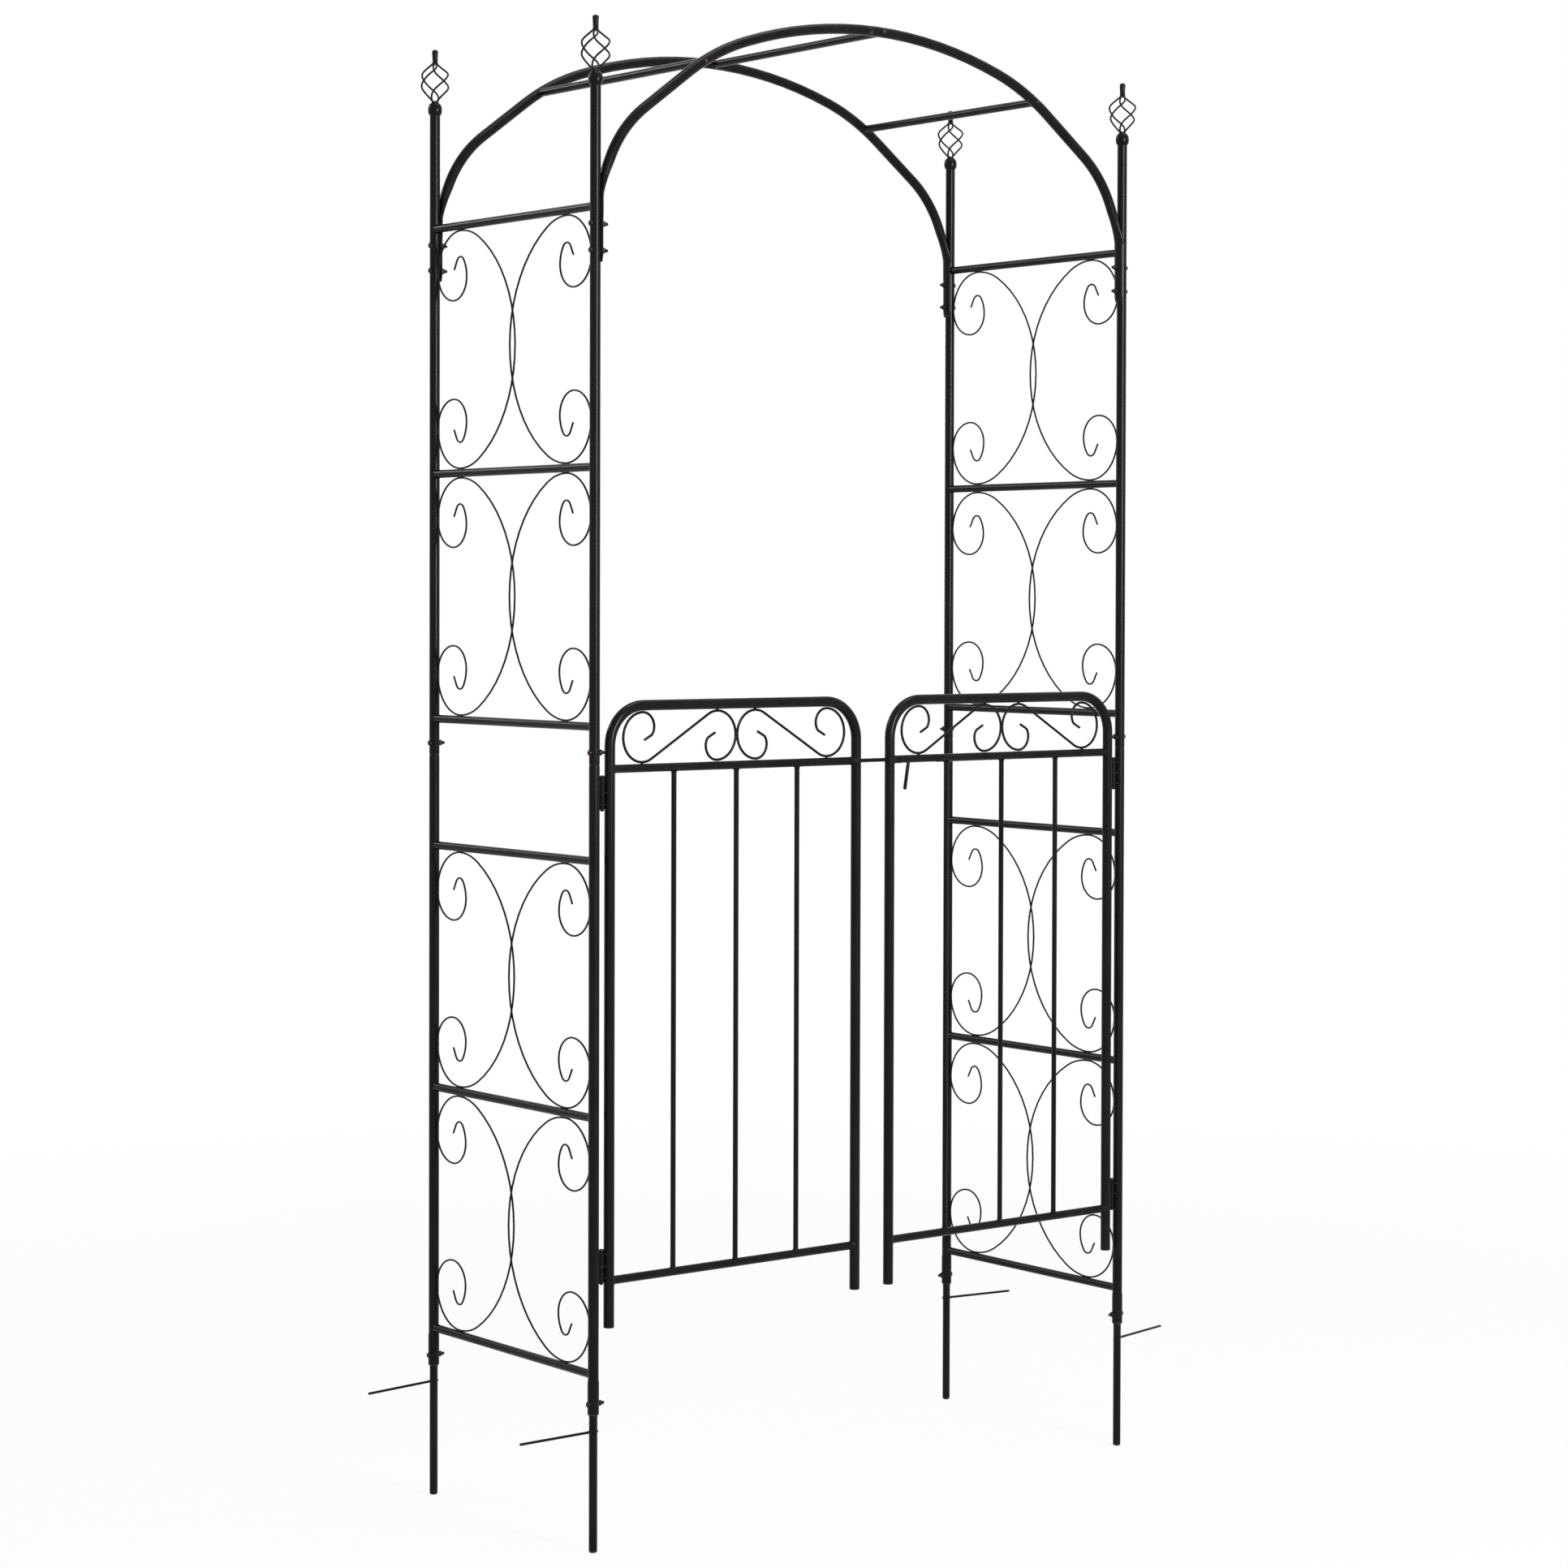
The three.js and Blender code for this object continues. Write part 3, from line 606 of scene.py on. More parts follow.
class PowderCoat(Finish):
    """Satin black powder coat: orange peel, faint streaks, thin coat on edges, rough welds."""

    black = (0.0032, 0.0032, 0.0038, 1)
    soft_black = (0.0062, 0.0062, 0.0072, 1)
    thin_coat = (0.040, 0.038, 0.036, 1)
    gloss = 0.11

    def __init__(self) -> None:
        """Builds the nodes."""
        super().__init__("Powder_Coat")
        cloud = self.noise(14, 3)
        streak = self.noise(60, 2, (1, 1, 0.06))
        speck = self.noise(1500, 1)
        peel = self.noise(520, 2)
        wear = self.stored("wear")
        weld = self.stored("weld")
        tone = (0.6 * cloud + 0.4 * streak).eased(0.35, 0.65)
        bare = (wear * 1.3 + self.noise(260, 3) - 0.9).eased(0.1, 0.5)
        colour = self.mixed(bare, self.mixed(tone, self.black, self.soft_black), self.thin_coat)
        roughness = 0.13 + 0.08 * cloud + 0.05 * streak + 0.03 * speck + 0.2 * weld
        spatter = self.noise(900, 3) * weld
        relief = self.bump(peel + 0.35 * speck + 2.5 * spatter, 0.00002, 0.6)
        self.close(
            {"Base Color": colour, "Roughness": roughness, "Specular IOR Level": self.gloss, "Normal": relief}
        )


class DarkZinc(Finish):
    """Dark bronze-toned zinc plating of the bolts, with bright rubs on its edges."""

    deep = (0.013, 0.010, 0.009, 1)
    warm = (0.048, 0.033, 0.025, 1)
    rubbed = (0.13, 0.11, 0.092, 1)

    def __init__(self) -> None:
        """Builds the nodes."""
        super().__init__("Dark_Zinc")
        cloud = self.noise(240, 3)
        grain = self.noise(2200, 2)
        wear = self.stored("wear")
        rub = (wear + 0.6 * self.noise(700, 2) - 0.6).eased(0.15, 0.7)
        plated = self.mixed(cloud.eased(0.3, 0.7), self.deep, self.warm)
        roughness = 0.26 + 0.16 * cloud + 0.1 * grain
        relief = self.bump(grain + 0.5 * cloud, 0.00004, 0.7)
        self.close(
            {
                "Base Color": self.mixed(rub, plated, self.rubbed),
                "Metallic": 0.9,
                "Roughness": roughness,
                "Normal": relief,
            }
        )


class StudioWhite(Finish):
    """A pale floor that looks white to the camera and in reflections, and keeps shadows."""

    pale = (0.95, 0.95, 0.95, 1)
    dusty = (0.9, 0.9, 0.9, 1)
    keep = 0.92
    fade = (1.4, 4.5)

    def __init__(self) -> None:
        """Builds the nodes: nearly white by the stakes, and plain white further out."""
        super().__init__("Studio_Floor")
        graph = self.graph
        colour = self.mixed(0.06 * self.noise(3, 2), self.pale, self.dusty)
        matt = graph.field("ShaderNodeBsdfDiffuse", {"Color": colour})
        shine = graph.field("ShaderNodeEmission", {"Color": WHITE, "Strength": 1.0})
        away = graph.field("ShaderNodeVectorMath", {0: self.where}, output="Value", operation="LENGTH")
        share = seen_directly(graph) * (self.keep + (1 - self.keep) * away.eased(*self.fade))
        floor = graph.field("ShaderNodeMixShader", {0: share, 1: matt, 2: shine})
        graph.node("ShaderNodeOutputMaterial", {"Surface": floor})


def seen_directly(graph: Graph) -> Field:
    """One for rays from the camera, mirrors and glass."""
    rays = graph.node("ShaderNodeLightPath").outputs
    camera = Field(graph, rays["Is Camera Ray"])
    return camera.most(Field(graph, rays["Is Glossy Ray"])).most(Field(graph, rays["Is Transmission Ray"]))


# Building pieces
class Shell:
    """Closed skins in millimetres that grow into one mesh."""

    def __init__(self) -> None:
        """Starts empty, with the attributes that the finishes read."""
        self.mesh = bmesh.new()
        self.wear = self.mesh.verts.layers.float.new("wear")
        self.weld = self.mesh.verts.layers.float.new("weld")

    def skin(
        self,
        rings: Sequence[Ring],
        looped: bool = False,
        wear: Sequence[float] = (),
        weld: Sequence[float] = (),
    ) -> None:
        """Joins rings of points into one closed skin.

        Args:
            rings: Rings of equally many points, or of one point at a pole.
            looped: Whether the last ring joins the first; if not, both ends are capped.
            wear: How worn each ring's coat is.
            weld: How much of each ring is weld.
        """
        rows = []
        for index, ring in enumerate(rings):
            row = [self.mesh.verts.new(point) for point in ring]
            for vertex in row:
                vertex[self.wear] = wear[index] if wear else 0
                vertex[self.weld] = weld[index] if weld else 0
            rows.append(row)
        if looped:
            rows.append(rows[0])
        else:
            rows = [*self.pole(rows[0]), *rows, *self.pole(rows[-1])]
        for lower, upper in zip(rows, rows[1:]):
            self.bridge(lower, upper)

    def pole(self, row: list[bmesh.types.BMVert]) -> list[list[bmesh.types.BMVert]]:
        """A middle point that caps a ring, if it needs one."""
        if len(row) == 1:
            return []
        middle = sum((vertex.co for vertex in row), Vector()) / len(row)
        return [[self.mesh.verts.new(middle)]]

    def bridge(self, lower: list[bmesh.types.BMVert], upper: list[bmesh.types.BMVert]) -> None:
        """Faces between two rows of vertices."""
        count = max(len(lower), len(upper))
        for index in range(count):
            after = (index + 1) % count
            if len(lower) == 1:
                corners = (lower[0], upper[after], upper[index])
            elif len(upper) == 1:
                corners = (lower[index], lower[after], upper[0])
            else:
                corners = (lower[index], lower[after], upper[after], upper[index])
            self.mesh.faces.new(corners)

    def lathe(
        self, profile: Sequence[tuple[float, ...]], sides: int = 32, at: Matrix = UNTURNED
    ) -> None:
        """Turns a profile of (radius, height) round an axis; a third number is the wear there."""
        rings = []
        for radius, height, *_ in profile:
            steps = angles(sides) if radius else [0]
            rings.append([at @ Vector((radius * math.cos(a), radius * math.sin(a), height)) for a in steps])
        self.skin(rings, wear=[point[2] if len(point) > 2 else 0 for point in profile])

    def built(self) -> bpy.types.Mesh:
        """The mesh, its faces turned outward."""
        return closed_mesh(self.mesh, "shell")


def closed_mesh(form: bmesh.types.BMesh, name: str) -> bpy.types.Mesh:
    """A mesh of closed skins, their faces turned outward; the form is used up."""
    bmesh.ops.recalc_face_normals(form, faces=form.faces)
    mesh = bpy.data.meshes.new(name)
    form.to_mesh(mesh)
    form.free()
    return mesh


def angles(sides: int) -> list[float]:
    """Evenly spaced angles once round."""
    return [2 * math.pi * index / sides for index in range(sides)]


def circle(centre: Vector, first: Vector, second: Vector, radius: float, sides: int) -> Ring:
    """Points round a centre, from the first direction towards the second."""
    return [centre + radius * (math.cos(a) * first + math.sin(a) * second) for a in angles(sides)]


def frame_along(start: Vector, direction: Vector) -> Matrix:
    """A frame at a point whose height axis runs along a direction."""
    return Matrix.Translation(start) @ direction.to_track_quat("Z", "Y").to_matrix().to_4x4()


class Rods:
    """Chains of points that Rod_Sweep turns into round rods, with beads of weld."""

    dome_height = 0.6
    dome_shares = (0.35, 0.65, 0.85, 0.97)
    flare_steps = (0.6, 1.4, 2.6, 4.2)
    flare_reach = 1.3

    def __init__(self) -> None:
        """Starts empty."""
        self.points: list[Vector] = []
        self.links: list[tuple[int, int]] = []
        self.stored: dict[str, list[float]] = {"girth": [], "bead": [], "weld": [], "wear": []}

    def put(self, point: Vector, girth: float = 0, bead: float = 0, weld: float = 0, wear: float = 0) -> None:
        """Adds a point and its values."""
        self.points.append(point)
        for name, value in (("girth", girth), ("bead", bead), ("weld", weld), ("wear", wear)):
            self.stored[name].append(value)

    def rod(self, path: Sequence[Vector], radius: float, flare: float = 0, dome: bool = True) -> None:
        """Adds a rod.

        Args:
            path: Its line.
            radius: Its radius.
            flare: How much a fillet of weld thickens its ends.
            dome: Whether its ends are rounded.
        """
        first = len(self.points)
        places = with_steps(path, self.flare_steps) if flare else list(path)
        run = [0.0]
        for one, other in zip(places, places[1:]):
            run.append(run[-1] + (other - one).length)
        if dome:
            self.dome(places[0], places[0] - places[1], radius, reverse=True)
        for place, length in zip(places, run):
            near = math.exp(-min(length, run[-1] - length) / self.flare_reach) if flare else 0
            self.put(place, radius + flare * near, weld=near)
        if dome:
            self.dome(places[-1], places[-1] - places[-2], radius)
        self.link_from(first)

    def link_from(self, first: int) -> None:
        """Joins the points from this one on into one chain."""
        self.links += [(index, index + 1) for index in range(first, len(self.points) - 1)]

    def dome(self, end: Vector, outward: Vector, radius: float, reverse: bool = False) -> None:
        """The points of a rounded end, worn a little at its tip."""
        way = outward.normalized()
        for share in reversed(self.dome_shares) if reverse else self.dome_shares:
            reach = self.dome_height * radius * share
            self.put(end + reach * way, radius * math.sqrt(1 - share * share), wear=0.5 * share)

    def weld_at(self, place: Vector, size: float) -> None:
        """Adds a bead of weld."""
        self.put(place, bead=size)

    def built(self, sweep: RodSweep, sides: int, coat: bpy.types.Material) -> bpy.types.Mesh:
        """The swept mesh."""
        mesh = bpy.data.meshes.new("paths")
        mesh.from_pydata(self.points, self.links, [])
        for name, values in self.stored.items():
            mesh.attributes.new(name, "FLOAT", "POINT").data.foreach_set("value", values)
        return sweep.run(mesh, sides=sides, coat=coat)


def with_steps(path: Sequence[Vector], distances: Sequence[float]) -> list[Vector]:
    """Adds points to a path at these distances from both of its ends."""
    start = [path[0].lerp(path[1], min(0.45, d / (path[1] - path[0]).length)) for d in distances]
    end = [path[-1].lerp(path[-2], min(0.45, d / (path[-2] - path[-1]).length)) for d in distances]
    return [path[0], *start, *path[1:-1], *reversed(end), path[-1]]


class Workshop:
    """The finishes and node trees that every piece shares."""

    def __init__(self) -> None:
        """Makes them once."""
        self.coats = {Slot.BLACK_COAT: PowderCoat().material, Slot.DARK_ZINC: DarkZinc().material}
        self.sweep = RodSweep()
        self.corners = CornerCopies()


class Piece:
    """One visible object: skins and rods in millimetres that ride on a body in place of CAD nodes."""

    sharp_angle = 38
    hole_sides = 24

    def __init__(self, shop: Workshop, name: str, body: Body, slot: Slot = Slot.BLACK_COAT) -> None:
        """Starts an empty piece."""
        self.shop = shop
        self.name = name
        self.body = body
        self.slot = slot
        self.shell = Shell()
        self.rods = Rods()
        self.cuts: list[bpy.types.Mesh] = []

    def cut(self, start: Vector, end: Vector, radius: float) -> None:
        """Plans a round hole between two points."""
        tool = Shell()
        length = (end - start).length
        profile = [(0, 0), (radius, 0), (radius, length), (0, length)]
        tool.lathe(profile, self.hole_sides, frame_along(start, end - start))
        self.cuts.append(tool.built())

    def cut_box(self, low: Vector, high: Vector) -> None:
        """Plans a slot between two corners."""
        tool = Shell()
        corners = ((low.x, low.y), (high.x, low.y), (high.x, high.y), (low.x, high.y))
        tool.skin([[Vector((x, y, z)) for x, y in corners] for z in (low.z, high.z)])
        self.cuts.append(tool.built())

    def finish(
        self, nodes: Iterable[str], turn: Matrix = UNTURNED, at_corners: bool = False, rod_sides: int = 10
    ) -> None:
        """Builds the object in metres and hands it to the frame.

        Args:
            nodes: The CAD nodes that it replaces.
            turn: Where it goes, if it was drawn elsewhere.
            at_corners: Whether the four posts each get a copy.
            rod_sides: Sides of a rod's section.
        """
        coat = self.shop.coats[self.slot]
        joined = bmesh.new()
        parts = [self.shell.built()]
        if self.rods.points:
            parts.append(self.rods.built(self.shop.sweep, rod_sides, coat))
        for part in parts:
            joined.from_mesh(part)
            bpy.data.meshes.remove(part)
        mesh = self.carved(closed_mesh(joined, self.name))
        if at_corners:
            mesh = self.shop.corners.run(mesh, across=PLAN.span, through=PLAN.depth, coat=coat)
        mesh.transform(Matrix.Scale(MILLIMETRE, 4) @ turn)
        mesh.materials.clear()
        mesh.materials.append(coat)
        mesh.shade_smooth()
        mesh.set_sharp_from_angle(angle=math.radians(self.sharp_angle))
        for spare in ("girth", "bead"):
            if spare in mesh.attributes:
                mesh.attributes.remove(mesh.attributes[spare])
        mesh.name = self.name
        piece = linked(self.name, mesh)
        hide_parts(*nodes)
        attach(piece, self.body.value)
        LOG.info("%s: %d faces", self.name, len(mesh.polygons))

    def carved(self, mesh: bpy.types.Mesh) -> bpy.types.Mesh:
        """The mesh less the planned holes."""
        if not self.cuts:
            return mesh
        holder = linked("carved", mesh)
        tools = [linked("tool", tool) for tool in self.cuts]
        for tool in tools:
            modifier = holder.modifiers.new("cut", "BOOLEAN")
            modifier.operation = "DIFFERENCE"
            modifier.solver = "EXACT"
            modifier.object = tool
        result = evaluated(holder)
        for spare in (holder, *tools):
            used = spare.data
            bpy.data.objects.remove(spare)
            bpy.data.meshes.remove(used)
        return result


# Steps of a rail's weld fillet: how far from its end, how much thicker, how much weld
FILLET = ((0, 1.0, 1), (0.7, 0.75, 1), (1.5, 0.4, 0.8), (2.6, 0.1, 0.3), (4, 0, 0))
RAIL_SIDES = 24
COPE_ROOM = 0.05


def coped_rail(
    shell: Shell, start: Vector, end: Vector, tube: float, across: Vector, bore: float = 0
) -> None:
    """A rail whose ends are shaped to the round tubes that they meet, with a fillet of weld.

    Args:
        shell: What it is added to.
        start: Where its axis meets the first tube's axis.
        end: Where it meets the second's.
        tube: The radius of those tubes.
        across: The direction square to the rail and to the tubes.
        bore: The rail's bore, or zero for a plain one.
    """
    way = (end - start).normalized()
    upright = way.cross(across)
    cope = tube + COPE_ROOM

    def ring(size: float, inset: float, from_start: bool) -> Ring:
        """A section that keeps to the tube's round face, this far from it."""
        corner, inward = (start, way) if from_start else (end, -way)
        points = []
        for a in angles(RAIL_SIDES):
            side, rise = size * math.cos(a), size * math.sin(a)
            setback = math.sqrt(cope * cope - side * side) + inset
            points.append(corner + side * across + rise * upright + setback * inward)
        return points

    rings = [ring(PANEL.rail + extra, inset, True) for inset, extra, _ in FILLET]
    rings += [ring(PANEL.rail + extra, inset, False) for inset, extra, _ in reversed(FILLET)]
    weld = [share for _, _, share in (*FILLET, *reversed(FILLET))]
    if bore:
        rings += [ring(bore, 0, False), ring(bore, 0, True)]
        weld += [0, 0]
    shell.skin(rings, looped=bool(bore), weld=weld)


class Posts:
    """The four posts, each of two tubes."""

    sizes = POST

    def build(self, shop: Workshop) -> None:
        """Builds the lower and the upper tubes."""
        for name, profile in (("lower_post", self.lower()), ("upper_post", self.upper())):
            piece = Piece(shop, name.title() + "s", Body.FRAME)
            piece.shell.lathe(profile, self.sizes.sides)
            piece.finish([f"{name}_{corner}" for corner in CORNERS], at_corners=True)

    def lower(self) -> list[tuple[float, ...]]:
        """The lower tube's profile, flared over the stake and necked to enter the upper tube."""
        size = self.sizes
        radius = size.radius
        bore = radius - size.wall
        mouth = bore + size.swell
        flared = radius + size.swell
        neck = bore - PLAN.gap
        foot, seam = size.low_seam, size.mid_seam
        stop = foot + size.mouth_depth
        socket = foot + size.socket
        lip = 0.35
        return [
            (0, stop), (mouth, stop), (mouth, foot + lip, 0.3), (mouth + lip, foot, 0.7),
            (flared - 0.7, foot, 0.8), (flared, foot + 0.9, 0.6), (flared, foot + 5), (flared, socket),
            (flared - 0.3, socket + 1.6, 0.1), (radius, socket + size.swage), (radius, seam - size.swage),
            (radius - 0.1, seam - 1.6, 0.2), (radius - 0.45, seam - 0.35, 0.5), (radius - 0.8, seam, 0.6),
            (neck, seam + 0.6, 0.2), (neck, seam + size.neck), (0, seam + size.neck),
        ]

    def upper(self) -> list[tuple[float, ...]]:
        """The upper tube's profile, hollow a little way in from both ends."""
        size = self.sizes
        radius = size.radius
        bore = radius - size.wall
        foot, top = size.mid_seam + 0.25, size.top
        low_stop, high_stop = foot + size.open_depth, top - size.open_depth
        return [
            (0, low_stop), (bore, low_stop), (bore, foot + 0.3, 0.2), (bore + 0.3, foot, 0.6),
            (radius - 0.4, foot, 0.8), (radius, foot + 0.5, 0.4), (radius, foot + 4), (radius, top - 4),
            (radius, top - 0.5, 0.4), (radius - 0.5, top, 0.7), (bore, top),
            (bore, high_stop), (0, high_stop),
        ]


class Stakes:
    """The ground stakes with their foot prongs."""

    sizes = StakeSizes()
    yaws = {"front_left": 0, "front_right": 12, "back_left": 7, "back_right": -10}

    def build(self, shop: Workshop) -> None:
        """Builds one piece with all four."""
        size = self.sizes
        radius, chamfer = size.radius, size.chamfer
        piece = Piece(shop, "Ground_Stakes", Body.FRAME)
        top = POST.low_seam + size.reach
        ring = POST.low_seam - size.ring_drop
        profile = [
            (0, 0, 0.2), (radius - chamfer - 0.6, 0, 0.5), (radius - chamfer, 0.25, 0.9),
            (radius - 0.25, chamfer, 0.8), (radius, chamfer + 0.7, 0.5), (radius, chamfer + 9),
            (radius, ring - 0.5), (radius + 0.12, ring - 0.2, 0.3), (radius + 0.12, ring + 0.2, 0.3),
            (radius, ring + 0.5), (radius, top), (0, top),
        ]
        height = POST.low_seam - size.prong_drop
        for row in Row:
            for side in Side:
                place = Vector((side.value * PLAN.half, row.value * PLAN.depth / 2, 0))
                piece.shell.lathe(profile, POST.sides, Matrix.Translation(place))
                yaw = math.radians(self.yaws[f"{row.label}_{side.label}"])
                way = side.value * Vector((math.cos(yaw), math.sin(yaw), 0))
                self.prong(piece.rods, place + height * UP, way)
        piece.finish([f"ground_stake_{corner}" for corner in CORNERS], rod_sides=16)

    def prong(self, rods: Rods, middle: Vector, way: Vector) -> None:
        """Adds a prong through a stake, thickened by weld where it leaves the tube."""
        size = self.sizes
        wall = size.radius
        tip = size.prong_length - rods.dome_height * size.prong_radius
        thickenings = (
            (-(wall + size.prong_nub), 0), (-wall - 0.4, 0.2), (-wall, 0.9), (wall, 0.9), (wall + 0.5, 0.8),
            (wall + 1.2, 0.45), (wall + 2.4, 0.12), (wall + 4, 0), (tip, 0),
        )
        first = len(rods.points)
        for run, extra in thickenings:
            rods.put(middle + run * way, size.prong_radius + extra, weld=min(1, 1.4 * extra))
        rods.dome(middle + tip * way, way, size.prong_radius)
        rods.link_from(first)


class Finials:
    """Collars that carry baskets of twisted wires under a pin."""

    sizes = FinialSizes()
    basket_shares = ((0, 0.16), (0.4, 1), (0.72, 1), (1, 0.14))
    basket_bend_share = 0.3

    def basket_profile(self) -> list[Vector]:
        """How far out a wire lies at each height above the basket's foot."""
        size = self.sizes
        widest = size.basket - size.wire
        corners = [Vector((widest * reach, size.basket_height * rise)) for rise, reach in self.basket_shares]
        points = softened(corners, self.basket_bend_share)
        profile = []
        for one, other in zip(points, points[1:]):
            steps = max(1, round((other - one).length / 3))
            profile += [one.lerp(other, step / steps) for step in range(steps)]
        return [*profile, points[-1]]

    def build(self, shop: Workshop) -> None:
        """Builds one finial and copies it to the posts."""
        size = self.sizes
        piece = Piece(shop, "Finials", Body.FRAME)
        base = POST.top + PLAN.gap
        top = base + size.collar_height
        inside = POST.radius - POST.wall - PLAN.gap
        plug_end = base - size.plug
        wide, neck, pin = size.collar, size.neck, size.pin
        collar = [
            (0, plug_end), (inside, plug_end), (inside, base - 0.1, 0.2), (wide * 0.74, base, 0.5),
            (wide * 0.84, base + 1.0, 0.2), (wide * 0.95, base + 3.4), (wide * 0.995, base + 6.6),
            (wide, base + 9.2, 0.15), (wide * 0.985, base + 12), (wide * 0.91, base + 15),
            (wide * 0.76, base + 17.7), (wide * 0.58, base + 19.4), (neck, top, 0.1),
            (neck, top + 1.4, 0.2), (neck - 0.9, top + 2.2, 0.2), (0, top + 2.3),
        ]
        piece.shell.lathe(collar, 32)
        basket_foot = POST.top + size.collar_height
        basket_top = basket_foot + size.basket_height
        tip = basket_top + size.pin_height
        spike = [
            (0, basket_top - 2.2), (pin * 0.8, basket_top - 2.2, 0.2), (pin, basket_top - 1.4, 0.5),
            (pin, basket_top + 0.8, 0.3), (pin * 0.86, basket_top + 2), (pin * 0.86, basket_top + 8),
            (pin * 0.98, tip - 3.2, 0.1), (pin * 0.95, tip - 2.2, 0.4), (pin * 0.4, tip - 0.5, 0.4),
            (0, tip, 0.4),
        ]
        piece.shell.lathe(spike, 24)
        for index in range(size.wires):
            path = []
            for reach, rise in self.basket_profile():
                angle = 2 * math.pi * (index / size.wires + size.turns * rise / size.basket_height)
                path.append(Vector((reach * math.cos(angle), reach * math.sin(angle), basket_foot + rise)))
            piece.rods.rod(path, size.wire, flare=0.5)
            piece.rods.weld_at(path[0], size.foot_bead)
            piece.rods.weld_at(path[-1], size.top_bead)
        piece.finish([f"finial_{corner}" for corner in CORNERS], at_corners=True, rod_sides=12)


class TrellisPanels:
    """Side panels: coped rails with a pair of C-scrolls welded into every cell."""

    sizes = PANEL

    def build(self, shop: Workshop) -> None:
        """Builds the lower and the upper panel of each side."""
        for side in Side:
            for label, rails in (("lower", self.sizes.lower), ("upper", self.sizes.upper)):
                piece = Piece(shop, f"Trellis_Panel_{label}_{side.label}", Body.FRAME)
                self.panel(piece, side.value * PLAN.half, *rails)
                piece.finish([f"trellis_panel_{label}_{side.label}"])

    def panel(self, piece: Piece, x: float, first: float, last: float) -> None:
        """Adds a panel's rails and scrolls."""
        size = self.sizes
        cell = (last - first) / size.cells
        for index in range(size.cells + 1):
            height = first + index * cell
            front, back = (Vector((x, end * PLAN.depth / 2, height)) for end in (-1, 1))
            coped_rail(piece.shell, front, back, POST.radius, Vector((1, 0, 0)))
        for index in range(size.cells):
            middle = first + (index + 0.5) * cell
            for row in Row:
                self.scroll(piece, x, middle, cell, row.value)

    def scroll(self, piece: Piece, x: float, middle: float, cell: float, row: int) -> None:
        """Adds one C-scroll and the weld beads where it touches the rails and its post."""
        size = self.sizes
        crest = cell / 2 - size.rail - size.wire + size.weld
        reach = PLAN.depth / 2 - POST.radius - size.wire - PLAN.gap
        bow = size.bow_share * reach
        half = fitted(bent_rod(CELL_SCROLL, 90, 6), reach + bow, crest)
        whole = [Vector((point.x, -point.y)) for point in reversed(half[1:])] + half
        path = [Vector((x, row * (point.x - bow), middle + point.y)) for point in whole]
        piece.rods.rod(path, size.wire)
        touch = max(half, key=lambda point: point.y)
        for end in (-1, 1):
            contact = Vector((x, row * (touch.x - bow), middle + end * (crest + 0.8)))
            for shift in (-size.bead_pitch, 0, size.bead_pitch):
                piece.rods.weld_at(contact + Vector((0, shift, 0)), size.bead)
        post_touch = max(half, key=lambda point: point.x)
        for end in (-1, 1):
            contact = Vector((x, row * (reach + 0.7), middle + end * post_touch.y))
            piece.rods.weld_at(contact, size.post_bead)


